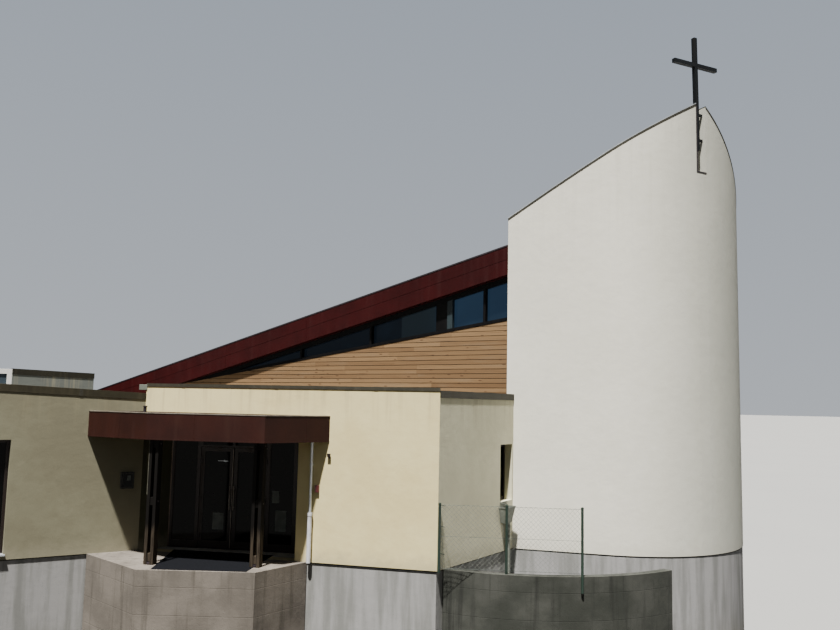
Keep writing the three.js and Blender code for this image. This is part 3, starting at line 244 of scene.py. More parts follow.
def paintRender(name, own, centre=None):
    # Two close tones mixed by slow clouds; dark runs hang from the coping and splashes stand on the plinth.
    # Below the floor level it is bare concrete with rain streaks and pores.
    s = {**renderFinish, **own}
    p = Paint(name)
    height = p.axis("Z")
    clouds = p.noise(0.5, 4.0) * 0.65 + p.noise(3.2, 5.0) * 0.35
    grain = p.noise(170.0, 2.0)
    colour = p.mix(clouds.ease(0.38, 0.62), s["light"], s["dark"])
    colour = p.mix((grain - 0.5) * 0.5 + 0.12, colour, s["dark"])
    if centre is not None:
        # painted shade on the round wall's side away from the sun: the bearing about its centre, eased
        # between two angles
        about = p.node("ShaderNodeVectorMath", {"operation": "SUBTRACT"}, {0: p.place, 1: centre})
        bearing = height.maths("ARCTAN2", p.axis("Y", about), p.axis("X", about))
        low, high = [math.radians(angle) for angle in s["shadeBearings"]]
        paintedShadeSide = bearing.ease(low, high) * (0.8 + p.noise(0.8, 3.0) * 0.4)
        colour = p.mix(paintedShadeSide * s["silveringAndShadeShare"], colour, s["shadeColour"])
    streaks = p.noise(1.0, 5.0, p.stretched((8.0, 8.0, 0.3))).ease(0.47, 0.72)
    fromTop = height.ease(s["top"] - s["runReach"], s["top"])
    colour = p.mix(streaks * fromTop * s["runs"], colour, s["runColour"])
    ragged = height + p.noise(5.0, 4.0) * 0.45
    splash = (1.0 - ragged.ease(floorLevel + 0.18, floorLevel + 0.6)) * s["splash"]
    colour = p.mix(splash, colour, s["splashColour"])
    wet = p.noise(1.0, 5.0, p.stretched((5.0, 5.0, 0.5)))
    bare = p.mix(wet.ease(0.36, 0.66), s["plinthLight"], s["plinthDark"])
    pores = 1.0 - p.cells(22.0).ease(0.07, 0.16)
    bare = p.mix(pores * p.noise(2.0, 2.0).ease(0.5, 0.6) * 0.6, bare, s["pore"])
    low = p.noise(1.6, 4.0) * 0.9 + height
    bare = p.mix((1.0 - low.ease(0.5, 1.6)) * 0.45, bare, s["damp"])
    below = height < floorLevel - 0.001
    colour = p.mix(below, colour, bare)
    # painted shadow of the render's step: a dark line just below the floor level on the plinth
    fromStepShade = (height - floorLevel + s["stepShadeHeight"] / 2.0).size()
    joint = 1.0 - fromStepShade.ease(s["stepShadeHeight"] * 0.4, s["stepShadeHeight"] * 0.6)
    colour = p.mix(joint * 0.9, colour, s["stepShadeColour"])
    coarse = p.bump(p.noise(6.0, 4.0), s["trowel"])
    normal = p.bump(grain + p.noise(60.0, 3.0) * 0.8 - pores * below, s["grain"], coarse)
    p.finish(colour, 0.86 + grain * 0.12, normal, Specular_IOR_Level=0.25)


concretes = {
    "cast concrete": {"light": tone(156, 154, 147), "dark": tone(130, 128, 122), "stain": tone(104, 102, 94)},
    "entrance paving": {"light": tone(116, 109, 101), "dark": tone(98, 92, 85), "stain": tone(74, 69, 62)},
    "weathered concrete": {"light": tone(68, 69, 64), "dark": tone(48, 50, 45), "stain": tone(30, 31, 28)},
}


def paintConcrete(name, s):
    # Cast concrete: cloudy, with streaks that run down, level day joints and small pores.
    p = Paint(name)
    height = p.axis("Z")
    clouds = p.noise(1.3, 5.0)
    runs = p.noise(1.0, 5.0, p.stretched((7.0, 7.0, 0.45)))
    colour = p.mix(clouds.ease(0.35, 0.65), s["light"], s["dark"])
    colour = p.mix(runs.ease(0.5, 0.72) * 0.75, colour, s["stain"])
    joint = ((height * 2.0).fraction() - 0.5).size().ease(0.485, 0.497)
    colour = p.mix(joint * 0.35, colour, s["stain"])
    pores = 1.0 - p.cells(26.0).ease(0.06, 0.17)
    colour = p.mix(pores * 0.55, colour, s["stain"])
    rough = p.bump(p.noise(9.0, 5.0) - joint * 0.4, 0.004)
    normal = p.bump(p.noise(120.0, 3.0) - pores, 0.002, rough)
    p.finish(colour, 0.82 + clouds * 0.15, normal, Specular_IOR_Level=0.3)


# Coated sheets: light, dark and dust tones, share of dust, roughness, metal, depth of the wave, gloss
sheets = {
    "fascia sheet": ((48, 8, 9), (38, 6, 7), (60, 25, 24), 0.14, 0.5, 0.0, 0.006, 0.14),
    "canopy sheet": ((46, 22, 17), (35, 16, 13), (58, 38, 30), 0.16, 0.5, 0.0, 0.005, 0.14),
    "coping sheet": ((56, 53, 43), (42, 40, 32), (82, 78, 64), 0.3, 0.55, 0.1, 0.003, 0.3),
    "hall coping sheet": ((38, 36, 28), (28, 27, 21), (66, 62, 46), 0.3, 0.55, 0.0, 0.003, 0.15),
    "wing coping sheet": ((56, 52, 39), (43, 40, 30), (74, 69, 52), 0.3, 0.55, 0.0, 0.003, 0.15),
    "grey zinc": ((124, 128, 118), (98, 102, 94), (84, 84, 74), 0.35, 0.55, 0.2, 0.002, 0.3),
    "zinc sheet": ((190, 194, 197), (160, 165, 169), (134, 134, 128), 0.35, 0.42, 0.45, 0.003, 0.5),
    "roof sheet": ((132, 135, 137), (110, 113, 116), (92, 90, 84), 0.45, 0.45, 0.45, 0.005, 0.5),
    "cross steel": ((15, 19, 22), (9, 12, 15), (34, 27, 22), 0.18, 0.55, 0.0, 0.001, 0.16),
    "dark frame": ((34, 26, 23), (24, 18, 16), (60, 54, 48), 0.2, 0.45, 0.0, 0.001, 0.2),
    "black frame": ((15, 14, 15), (10, 10, 11), (30, 27, 26), 0.2, 0.45, 0.0, 0.001, 0.1),
    # a painted highlight: the sunlit edge of a mullion
    "lit edge frame": ((42, 52, 56), (32, 41, 45), (60, 60, 56), 0.2, 0.4, 0.0, 0.001, 0.3),
    "white frame": ((226, 226, 220), (206, 206, 200), (160, 156, 144), 0.2, 0.35, 0.0, 0.001, 0.4),
    "fence coating": ((22, 44, 34), (14, 30, 23), (52, 58, 50), 0.2, 0.42, 0.0, 0.001, 0.4),
}


def paintSheet(name, light, dark, dust, dustShare, roughness, metal, wave, gloss):
    # Two close tones, dust that has run down the sheet, fine scratches and a slow wave in it.
    p = Paint(name)
    clouds = p.noise(1.1, 4.0)
    fine = p.noise(45.0, 3.0)
    colour = p.mix((clouds * 0.7 + fine * 0.3).ease(0.35, 0.65), tone(*light), tone(*dark))
    runs = p.noise(1.0, 5.0, p.stretched((11.0, 11.0, 0.7))).ease(0.48, 0.74)
    colour = p.mix(runs * dustShare, colour, tone(*dust))
    specks = 1.0 - p.cells(38.0).ease(0.05, 0.12)
    colour = p.mix(specks * p.noise(3.0, 2.0).ease(0.52, 0.6) * 0.5, colour, tone(*dust))
    normal = p.bump(p.noise(240.0, 2.0), 0.0003, p.bump(p.noise(1.7, 2.0), wave))
    roughness = roughness + runs * 0.2 + (fine - 0.5) * 0.12
    p.finish(colour, roughness, normal, Metallic=metal, Specular_IOR_Level=gloss)


boardFinish = {
    "light": tone(137, 110, 78), "dark": tone(100, 75, 49), "vein": tone(74, 50, 31),
    "grey": tone(126, 109, 88), "silveringAndShadeShare": 0.3, "bearing": 146.0,
}
postFinish = {
    # the plank tones are painted shade: near black where the canopy shades the posts
    "light": tone(14, 12, 10), "dark": tone(10, 8, 7), "vein": tone(6, 5, 4), "paleWood": tone(74, 65, 54),
    "paleWoodTop": 2.98,
}


def paintBoards(name, s):
    # Softwood boards: grain drawn out along the board, a tone of its own for each one, knots and silvering.
    p = Paint(name)
    own = p.node("ShaderNodeAttribute", {"attribute_name": "boardTone"}, {}, "Fac")
    along = p.turned(s["bearing"])
    seed = own * 43.0
    grain = p.noise(1.0, 5.0, p.stretched((1.4, 55.0, 55.0), along), 0.6, seed)
    figure = p.noise(1.0, 4.0, p.stretched((0.6, 14.0, 14.0), along), 0.6, seed)
    colour = p.mix(own * 0.75 + figure * 0.35, s["light"], s["dark"])
    colour = p.mix(grain.ease(0.52, 0.74) * 0.55, colour, s["vein"])
    silver = p.noise(1.0, 3.0, p.stretched((0.8, 5.0, 5.0), along), 0.55, seed).ease(0.5, 0.72)
    colour = p.mix(silver * s["silveringAndShadeShare"], colour, s["grey"])
    knots = 1.0 - p.cells(1.0, p.stretched((2.6, 8.5, 8.5), along)).ease(0.08, 0.17)
    colour = p.mix(knots * 0.8, colour, s["vein"])
    p.finish(colour, 0.66 + grain * 0.2, p.bump(grain + knots * 0.5, 0.0022), Specular_IOR_Level=0.3)


def paintPosts(name, s):
    # Near-black planks, painted shade of the canopy on their faces: upright grain, and paler wood in the
    # grain near the foot.
    p = Paint(name)
    grain = p.noise(1.0, 5.0, p.stretched((60.0, 60.0, 1.6)))
    figure = p.noise(1.0, 4.0, p.stretched((16.0, 16.0, 0.8)))
    colour = p.mix(figure.ease(0.35, 0.65), s["light"], s["dark"])
    colour = p.mix(grain.ease(0.5, 0.72) * 0.6, colour, s["vein"])
    ragged = p.axis("Z") + figure * 0.3
    paleWood = 1.0 - ragged.ease(s["paleWoodTop"], s["paleWoodTop"] + 0.25)
    colour = p.mix(paleWood * grain.ease(0.3, 0.6) * 0.75, colour, s["paleWood"])
    p.finish(colour, 0.7 + grain * 0.2, p.bump(grain, 0.003), Specular_IOR_Level=0.1)


glasses = {
    "hall glass": {"deep": tone(44, 52, 58), "clear": tone(64, 75, 82), "reflection": 0.1},
    "dark glass": {"deep": tone(3, 3, 3), "clear": tone(8, 9, 10), "reflection": 0.05},
}
skyGlass = {
    "deep": tone(10, 13, 17), "clear": tone(12, 17, 23), "bearing": 146.0, "reflection": 0.2,
    # glows: painted reflection of the sky, painted shade under the eaves, and a paler painted reflection on
    # one pane
    "first": 1.7, "reach": 2.5, "skyReflectionGlow": (0.016, 0.036, 0.066), "eavesShadeGlow": (0.004, 0.006, 0.009),
    "paleReflection": (2.139, 3.155), "paleReflectionGlow": (0.012, 0.018, 0.022),
}


def finishGlass(p, colour, roughness, reflection, **glow):
    # hard gloss with smears that run down it, over panes that are slightly uneven
    smears = p.noise(1.0, 4.0, p.stretched((9.0, 9.0, 1.0)))
    normal = p.bump(p.noise(0.8, 1.0), 0.004)
    p.finish(colour, roughness + smears * 0.05, normal, Specular_IOR_Level=reflection, **glow)


def paintGlass(name, s):
    # Dark rooms behind glass: a deep tone with soft, pale shapes.
    p = Paint(name)
    shapes = p.noise(0.7, 3.0) * 0.6 + p.noise(2.3, 3.0) * 0.4
    finishGlass(p, p.mix(shapes.ease(0.42, 0.66), s["deep"], s["clear"]), 0.04, s["reflection"])


def paintSkyGlass(name, s, zero):
    # The clerestory: a glow, painted reflection of the sky, that is blue towards the tower and dims to
    # painted shade at the low end under the eaves.
    # A paler glow, a painted reflection, stands behind one pane; zero is the tower's corner along the gable.
    p = Paint(name)
    along = p.axis("X", p.turned(s["bearing"])) - zero
    clouds = p.noise(0.9, 3.0)
    shown = (1.0 - along.ease(s["first"], s["reach"])) * 0.8 + (clouds - 0.5) * 0.4
    paleReflection = (along > s["paleReflection"][0]) * (along < s["paleReflection"][1])
    glow = p.mix(paleReflection * 0.8, p.mix(shown, s["eavesShadeGlow"], s["skyReflectionGlow"]), s["paleReflectionGlow"])
    finishGlass(p, p.mix(clouds, s["deep"], s["clear"]), 0.05, s["reflection"], Emission_Color=glow,
                Emission_Strength=1.0)


feltFinish = {
    "light": tone(120, 119, 114), "dark": tone(92, 92, 88), "grit": tone(150, 148, 142),
    "lap": tone(62, 62, 60), "pitch": 1.0, "bearing": 145.0,
}


def paintFelt(name, s):
    # Mineral felt: coarse grit, laps one metre apart and ponding stains.
    p = Paint(name)
    along = p.axis("X", p.turned(s["bearing"]))
    grit = p.noise(260.0, 2.0)
    ponds = p.noise(0.6, 5.0)
    colour = p.mix(ponds.ease(0.38, 0.62), s["light"], s["dark"])
    colour = p.mix(grit.ease(0.4, 0.6) * 0.35, colour, s["grit"])
    lap = ((along / s["pitch"]).fraction() - 0.5).size().ease(0.484, 0.494)
    colour = p.mix(lap * 0.8, colour, s["lap"])
    normal = p.bump(grit, 0.002, p.bump(lap + ponds * 0.5, 0.006))
    p.finish(colour, 0.9 + grit * 0.08, normal, Specular_IOR_Level=0.2)


# Small things: light and dark tones, scale of the clouds, roughness, depth of the grain, gloss
plains = {
    "dark trim": ((44, 34, 40), (30, 24, 28), 6.0, 0.5, 0.0005, 0.5),
    "pale trim": ((120, 112, 102), (92, 84, 74), 6.0, 0.45, 0.0005, 0.5),
    "wood trim": ((78, 62, 48), (54, 42, 32), 9.0, 0.6, 0.001, 0.5),
    "blank paper": ((94, 99, 95), (72, 77, 73), 5.0, 0.75, 0.0005, 0.5),
    "pale pipe": ((208, 208, 212), (182, 182, 186), 7.0, 0.45, 0.0005, 0.5),
    "red enamel": ((74, 7, 9), (58, 5, 7), 9.0, 0.4, 0.0005, 0.5),
    "mat fibre": ((20, 21, 25), (12, 13, 16), 30.0, 0.95, 0.004, 0.05),
    # a painted highlight for a plank's sunlit edge
    "lit post edge": ((96, 94, 82), (70, 68, 58), 9.0, 0.8, 0.001, 0.2),
    "mesh wire": ((116, 120, 112), (90, 94, 88), 9.0, 0.5, 0.0005, 0.5),
    "shaded gap": ((24, 21, 18), (14, 12, 10), 8.0, 0.9, 0.001, 0.5),
}


def paintPlain(name, light, dark, scale, roughness, grain, gloss):
    # Two tones in clouds of one size over a fine grain.
    p = Paint(name)
    fine = p.noise(scale * 12.0, 3.0)
    colour = p.mix(p.noise(scale, 4.0).ease(0.35, 0.65) * 0.8 + fine * 0.2, tone(*light), tone(*dark))
    p.finish(colour, roughness + (fine - 0.5) * 0.1, p.bump(fine, grain), Specular_IOR_Level=gloss)


for paint, finishes in (
        (paintRender, renders), (paintConcrete, concretes), (paintGlass, glasses),
        (paintBoards, {"gable boards": boardFinish}), (paintPosts, {"post planks": postFinish}),
        (paintFelt, {"roof felt": feltFinish})):
    for name, finish in finishes.items():
        paint(name, finish)
for paint, finishes in ((paintSheet, sheets), (paintPlain, plains)):
    for name, finish in finishes.items():
        paint(name, *finish)
print("materials painted:", len(bpy.data.materials))


def coat(material, names):
    # the material on every slot of these nodes' objects
    for name in names:
        for materialSlot in nodes[name].material_slots:
            materialSlot.material = bpy.data.materials[material]


coats = {
    "annex render": ["annex_front_wall", "entrance_lintel_wall", "entrance_base_wall"],
    "side render": ["annex_side_wall"],
    "wing render": ["wing_front_wall"],
    "shaded recess render": ["recess_left_wall", "recess_right_wall"],
    "hall front render": ["hall_front_wall", "hall_east_wall"],
    "hall render": ["hall_west_wall", "hall_back_wall", "wing_west_wall"],
    "nave render": ["nave_west_wall", "nave_back_wall", "nave_east_wall"],
    "cast concrete": ["low_floor", "nave_floor"],
    "entrance paving": ["entrance_platform"],
    "weathered concrete": ["light_well_wall"],
    "fascia sheet": ["verge_fascia", "rear_fascia"],
    "canopy sheet": ["canopy"],
    "coping sheet": ["annex_front_coping", "annex_side_coping"],
    "wing coping sheet": ["wing_coping"],
    "hall coping sheet": ["hall_coping"],
    "zinc sheet": ["side_rain_hopper", "front_downpipe"],
    "roof sheet": ["nave_roof"],
    "dark frame": ["side_window", "wing_window", "screen_side_light_left", "screen_side_light_right",
                   "screen_transom", "door_leaf_left", "door_leaf_right"],
    "black frame": ["clerestory_frame"],
    "white frame": ["hall_window"],
    "fence coating": ["fence_bay_left", "fence_bay_right"],
    "cross steel": ["tower_cross"],
    "shaded gap": ["gable_wall"],
    "post planks": ["canopy_post_left", "canopy_post_right"],
    "dark glass": ["west_window_glass", "nave_back_window_glass"],
    "roof felt": ["annex_roof", "wing_roof", "hall_roof", "tower_roof"],
}
for material, names in coats.items():
    coat(material, names)

# Plan of the building: metres from the annex's front corner, bearings in degrees from +X
plan = {
    "frontCorner": (0.0, 0.0), "annexBearing": 165.6, "annexLength": 6.36, "sideBearing": 58.0,
    "wingBearing": 212.5, "wingLength": 4.9, "wingDepth": 8.59, "blockBearing": 122.5, "gableBearing": 146.0,
    "naveBearing": 56.0, "vergeOverhang": 0.18, "naveWidth": 15.0, "naveDepth": 12.0,
    "towerCorner": (1.58, 2.82), "screenLeft": (-5.70, 2.07), "screenRight": (-2.91, 1.56),
}


def toward(bearing):
    # the unit vector of a bearing in the plan
    return np.array([math.cos(math.radians(bearing)), math.sin(math.radians(bearing))])


def ahead(point, bearing, distance):
    # the point + distance times the bearing's unit vector
    return np.asarray(point) + distance * toward(bearing)


def wallLine(start, bearing, turn):
    # a wall's outer face: where it starts, the way along it and the way out of it
    return {"start": np.asarray(start), "along": toward(bearing), "out": toward(bearing + turn)}


innerCorner = ahead(plan["frontCorner"], plan["annexBearing"], plan["annexLength"])
wingEnd = ahead(innerCorner, plan["wingBearing"], plan["wingLength"])
hallLeft = ahead(wingEnd, plan["blockBearing"], plan["wingDepth"])
gableStart = ahead(plan["towerCorner"], plan["naveBearing"], plan["vergeOverhang"])
naveCorner = ahead(plan["towerCorner"], plan["gableBearing"], plan["naveWidth"])
naveFar = ahead(naveCorner, plan["naveBearing"], plan["naveDepth"])
screenSpan = np.subtract(plan["screenRight"], plan["screenLeft"])
screenWidth = float(np.hypot(*screenSpan))
annexFront = wallLine(plan["frontCorner"], plan["annexBearing"], 90)
annexSide = wallLine(plan["frontCorner"], plan["sideBearing"], -90)
wingFront = wallLine(innerCorner, plan["wingBearing"], 90)
wingWest = wallLine(wingEnd, plan["blockBearing"], 90)
hallFront = wallLine(hallLeft, plan["wingBearing"] - 180.0, -90)
hallWest = wallLine(hallLeft, plan["blockBearing"], 90)
gableFace = wallLine(gableStart, plan["gableBearing"], 90)
fasciaFace = wallLine(plan["towerCorner"], plan["gableBearing"], 90)
naveBack = wallLine(naveFar, plan["gableBearing"] - 180.0, 90)
screenFace = wallLine(plan["screenLeft"], math.degrees(math.atan2(screenSpan[1], screenSpan[0])), -90)

annexLow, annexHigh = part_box("annex_front_wall")
planOrigin = np.array([annexHigh.x, annexLow.y, annexLow.z + floorLevel])


def lifted(flat, height):
    # plan points at those heights, in the frame
    height = np.broadcast_to(height, np.shape(flat)[:-1])
    return np.concatenate([flat, height[..., None]], axis=-1) + planOrigin


def beside(wall, along, out):
    # the wall's start + along times its direction + out times its outward normal
    along, out = np.asarray(along, float)[..., None], np.asarray(out, float)[..., None]
    return wall["start"] + along * wall["along"] + out * wall["out"]


def onWall(wall, along, out, height):
    # the same with a height
    along, out, height = np.broadcast_arrays(along, out, height)
    return lifted(beside(wall, along, out), height)


def gather(parts):
    # several solids as one: their points in a row, and their faces counted on from there
    points, faces, count = [], [], 0
    for some, sides in parts:
        some = np.asarray(some).reshape(-1, 3)
        points.append(some)
        faces += [[corner + count for corner in side] for side in sides]
        count += len(some)
    return np.concatenate(points), faces


edging = {"segments": 2, "angle": 40.0}   # an edge sharper than this many degrees is rounded


def addPiece(name, parts, material, body="building", smooth=None, bevel=None, instead=()):
    # Parts are pairs of points and faces; smooth is the sharpest angle that is shaded soft, in degrees.
    points, faces = gather(parts)
    mesh = bpy.data.meshes.new(name)
    mesh.from_pydata(points.tolist(), [], faces)
    sheet = bmesh.new()
    sheet.from_mesh(mesh)
    bmesh.ops.recalc_face_normals(sheet, faces=sheet.faces)
    sheet.to_mesh(mesh)
    sheet.free()
    mesh.materials.append(bpy.data.materials[material])
    if smooth is not None:
        mesh.polygons.foreach_set("use_smooth", np.ones(len(mesh.polygons), dtype=bool))
        mesh.set_sharp_from_angle(angle=math.radians(smooth))
    made = bpy.data.objects.new(name, mesh)
    bpy.context.scene.collection.objects.link(made)
    if bevel is not None:
        rounding = made.modifiers.new("edges", "BEVEL")
        rounding.width, rounding.segments, rounding.limit_method = bevel, edging["segments"], "ANGLE"
        rounding.angle_limit = math.radians(edging["angle"])
    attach(made, body)
    if instead:
        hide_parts(*instead)
    return made


unitBox = np.array([(*flat, up) for up in (0, 1) for flat in ((0, 0), (1, 0), (1, 1), (0, 1))], bool)
boxSides = [[0, 3, 2, 1], [4, 5, 6, 7], [0, 1, 5, 4], [1, 2, 6, 5], [2, 3, 7, 6], [3, 0, 4, 7]]


def wallBoxes(wall, spans):
    # one upright box for each row: from and to along the wall, out of it, and in height
    spans = np.atleast_2d(np.asarray(spans, float))
    picked = [np.where(unitBox[:, axis], spans[:, 2 * axis + 1, None], spans[:, 2 * axis, None])
              for axis in range(3)]
    return [(solid, boxSides) for solid in onWall(wall, *picked)]


def prism(wall, outline, near, far):
    # an outline of along and height, pushed from near to far out of the wall
    outline = np.asarray(outline, float)
    rims = [onWall(wall, outline[:, 0], out, outline[:, 1]) for out in (near, far)]
    index, count = np.arange(len(outline)), len(outline)
    after = np.roll(index, -1)
    sides = np.stack([index, after, after + count, index + count], axis=1).tolist()
    return np.concatenate(rims), [index[::-1].tolist(), (index + count).tolist()] + sides


def sweep(sections):
    # sections with the same number of points, joined in turn and closed at both ends
    sections = np.asarray(sections, float)
    steps, count = sections.shape[:2]
    row = np.arange(count)
    start = (np.arange(steps - 1) * count)[:, None]
    after = np.roll(row, -1)
    sides = np.stack([start + row, start + after, start + count + after, start + count + row], axis=-1)
    ends = [row[::-1].tolist(), (row + (steps - 1) * count).tolist()]
    return sections.reshape(-1, 3), sides.reshape(-1, 4).tolist() + ends


def tube(path, radius, sides, aside):
    # a circle of the radius carried along the path; aside is a direction at right angles to all of it
    path = np.asarray(path, float)
    radius = np.broadcast_to(np.asarray(radius, float), len(path))
    way = np.gradient(path, axis=0)
    way /= np.linalg.norm(way, axis=1, keepdims=True)
    aside = np.asarray(aside, float) / np.linalg.norm(aside)
    third = np.cross(way, aside)
    turn = np.arange(sides) * 2.0 * math.pi / sides
    ring = np.cos(turn)[:, None] * aside + np.sin(turn)[:, None] * third[:, None, :]
    return sweep(path[:, None, :] + radius[:, None, None] * ring)


def pipe(place, levels, radii, sides=24):
    # an upright round form over one plan point: one radius at each level
    turn = np.arange(sides) * 2.0 * math.pi / sides
    circle = np.stack([np.cos(turn), np.sin(turn)], axis=1)
    flat = np.asarray(place) + np.asarray(radii)[:, None, None] * circle
    return sweep(lifted(flat, np.asarray(levels)[:, None]))


# Tower: a straight return and face, then an arc; the rim climbs to the slot and falls beyond it
tower = {
    "corner": plan["towerCorner"], "faceBearing": -17.0, "faceLength": 2.22, "returnBearing": 56.0,
    "returnLength": 0.9, "radius": 2.92, "thickness": 0.25, "renderStep": 0.013, "foot": -2.3,
    "faceStops": (0.46, 1.0, 1.6), "stopEvery": 0.06, "slotClear": (0.2, 0.24), "lastClear": 0.03,
    "endClear": 0.0013,
    "rimAtCorner": 7.41, "rimRise": 0.672, "rimEasing": 0.0145, "returnFall": 0.4,
    "rimPeak": 10.06, "rimFall": 0.8, "fallEasing": 0.06, "rimLowest": 7.12,
    "slotAngle": -62.1, "slotWidth": 0.3, "slotSill": 8.51,
}
arcStart = tower["faceBearing"] - 90.0
towerTangent = ahead(tower["corner"], tower["faceBearing"], tower["faceLength"])
towerCentre = ahead(towerTangent, tower["faceBearing"] + 90.0, tower["radius"])


def towerAlong(angle):
    # face length + radius times the angle past the arc's start
    return tower["faceLength"] + tower["radius"] * math.radians(angle - arcStart)


def arcEnd(depth):
    # the angle where a circle about the tower's centre meets the line of the nave's side
    reach = (towerCentre - tower["corner"]) @ toward(plan["naveBearing"] - 90.0)
    turn = math.degrees(math.acos((tower["endClear"] - reach) / (tower["radius"] - depth)))
    return turn + plan["naveBearing"] - 90.0


def towerPlan(along, depth):
    # Below 0 a point lies on the return, up to the face length on the face, and beyond that on the arc;
    # at 0 it lies on the mitre of the return and the face.
    along, depth = [np.asarray(value, float)[..., None] for value in (along, depth)]
    inFace, inReturn = toward(tower["faceBearing"] + 90.0), toward(tower["returnBearing"] - 90.0)
    mitre = (inFace + inReturn) / (1.0 + inFace @ inReturn)
    corner = np.asarray(tower["corner"])
    onReturn = corner - along * toward(tower["returnBearing"]) + depth * inReturn
    onFace = corner + along * toward(tower["faceBearing"]) + depth * inFace
    angle = math.radians(arcStart) + (along - tower["faceLength"]) / tower["radius"]
    radial = np.concatenate([np.cos(angle), np.sin(angle)], axis=-1)
    onArc = towerCentre + (tower["radius"] - depth) * radial
    place = np.where(along > tower["faceLength"], onArc, onFace)
    place = np.where(along < 0, onReturn, place)
    return np.where(along == 0, corner + depth * mitre, place)


slotAlong = towerAlong(tower["slotAngle"])
slotHalf = np.array([tower["radius"] * math.asin(tower["slotWidth"] / 2.0 / (tower["radius"] - depth))
                     for depth in (0.0, tower["thickness"])])


def rimHeight(along):
    # corner height + rise times distance - easing times its square; past the slot it falls the same way
    along = np.asarray(along, float)
    rising = tower["rimAtCorner"] + tower["rimRise"] * along - tower["rimEasing"] * along ** 2
    past = np.maximum(along - slotAlong - tower["slotWidth"] / 2.0, 0.0)
    falling = tower["rimPeak"] - tower["rimFall"] * past - tower["fallEasing"] * past ** 2
    back = tower["rimAtCorner"] + tower["returnFall"] * along
    height = np.where(along < slotAlong, rising, np.maximum(falling, tower["rimLowest"]))
    return np.where(along < 0, back, height)


def towerStops(s):
    # pairs of outside and inside places; they differ at the slot's cheeks and at the end against the nave
    ends = np.array([towerAlong(arcEnd(0.0)), towerAlong(arcEnd(s["thickness"]))])
    left = np.arange(s["faceLength"] + s["stopEvery"], slotAlong - s["slotClear"][0], s["stopEvery"])
    right = np.arange(slotAlong + s["slotClear"][1], ends[0] - s["lastClear"], s["stopEvery"])
    left = np.array([-s["returnLength"], 0.0, *s["faceStops"], s["faceLength"], *left])
    before = np.concatenate([np.tile(left[:, None], 2), [slotAlong - slotHalf]])
    after = np.concatenate([[slotAlong + slotHalf], np.tile(right[:, None], 2), [ends]])
    return before, after


def towerShell(before, after, s):
    # the wall's section at each place: up the outside, past the step at the floor, and down the inside
    inSlot = np.stack([before[-1], [slotAlong, slotAlong], after[0]])
    outside, inside = np.concatenate([before, inSlot, after]).T
    rims = np.concatenate([rimHeight(before), np.full((3, 2), s["slotSill"]), rimHeight(after)]).T
    step, thick = s["renderStep"], s["thickness"]
    section = [(outside, step, s["foot"]), (outside, step, 0.0), (outside, 0.0, 0.0), (outside, 0.0, rims[0]),
               (inside, thick, rims[1]), (inside, thick, s["foot"])]
    points = [lifted(towerPlan(along, depth), height) for along, depth, height in section]
    return sweep(np.stack(points, axis=1))


def towerRun(along, profile, height):
    # a profile of depth and rise carried round the tower, one row of places and heights at each stop
    depths, rises = np.array(profile).T
    along, height = [np.broadcast_to(value, (len(along), len(profile))) for value in (along, height)]
    return sweep(lifted(towerPlan(along, depths), height + rises))


cap = {"high": 0.025, "drip": 0.022, "out": 0.006, "sheet": 0.004, "fold": 0.006, "lift": 0.002}


def towerCap(stops, s):
    # a folded sheet over the rim: a drip on both sides, and a thin lip turned out at each
    near, far, high, low, lift = -s["out"], tower["thickness"] + s["out"], s["high"], -s["drip"], s["lift"]
    within, beyond = near + s["sheet"], far - s["sheet"]
    outer = [(near, high), (near, low + s["fold"]), (near, low), (within, low), (within, lift)]
    inner = [(beyond, lift), (beyond, low), (far, low), (far, high)]
    along = stops[:, [0] * len(outer) + [1] * len(inner)]
    return towerRun(along, outer + inner, rimHeight(along))


paintRender("tower render", towerRender, (*(towerCentre + planOrigin[:2]).tolist(), 0.0))
stopsBefore, stopsAfter = towerStops(tower)
addPiece("tower_shell", [towerShell(stopsBefore, stopsAfter, tower)], "tower render",
         smooth=20, instead=("tower_front_wall", "tower_round_wall_1", "tower_round_wall_2",
                             "tower_round_wall_3", "tower_round_wall_4"))
addPiece("tower_rim_capping", [towerCap(stopsBefore, cap), towerCap(stopsAfter, cap)], "coping sheet",
         smooth=30, instead=("tower_capping_rise", "tower_capping_fall"))

slotTrim = {
    "wide": 0.028, "edgeDeep": 0.012, "proud": 0.007, "sill": 0.022, "sheet": 0.006, "under": 0.001,
    "lap": 0.004, "edgeShort": 0.03, "share": 0.995, "stops": 5, "lipHigh": 0.02, "lipDeep": 0.03,
    "lipProud": 0.002,
}


def slotParts(s):
    # a folded sill sheet in the slot, and a narrow edge strip up its left cheek
    proud, low, high, under, thick = -s["proud"], -s["sill"], s["sheet"], s["under"], tower["thickness"]
    sill = [(proud, low), (proud, high), (thick, high), (thick, under), (-under, under), (-under, low)]
    sillStops = slotAlong + slotHalf[0] * np.linspace(-1.0, 1.0, s["stops"]) * s["share"]
    top = float(rimHeight(slotAlong - slotHalf[0])) - tower["slotSill"] - s["edgeShort"]
    edge = [(proud, low), (proud, top), (s["edgeDeep"], top), (s["edgeDeep"], low)]
    edgeStops = slotAlong - slotHalf[0] + np.array([-s["lap"], s["wide"]])
    return [towerRun(stops[:, None], profile, tower["slotSill"])
            for stops, profile in ((sillStops, sill), (edgeStops, edge))]


def capLip(stops, s):
    # a low band that stands on the capping's outer edge
    near, low, high = -cap["out"] - s["lipProud"], cap["high"], cap["high"] + s["lipHigh"]
    profile = [(near, low), (near, high), (s["lipDeep"], high), (s["lipDeep"], low)]
    return towerRun(stops, profile, rimHeight(stops))


addPiece("slot_trim", slotParts(slotTrim), "dark trim")
addPiece("tower_cap_lip", [capLip(stopsBefore[1:, :1], slotTrim)], "zinc sheet", smooth=30)
print("tower built")

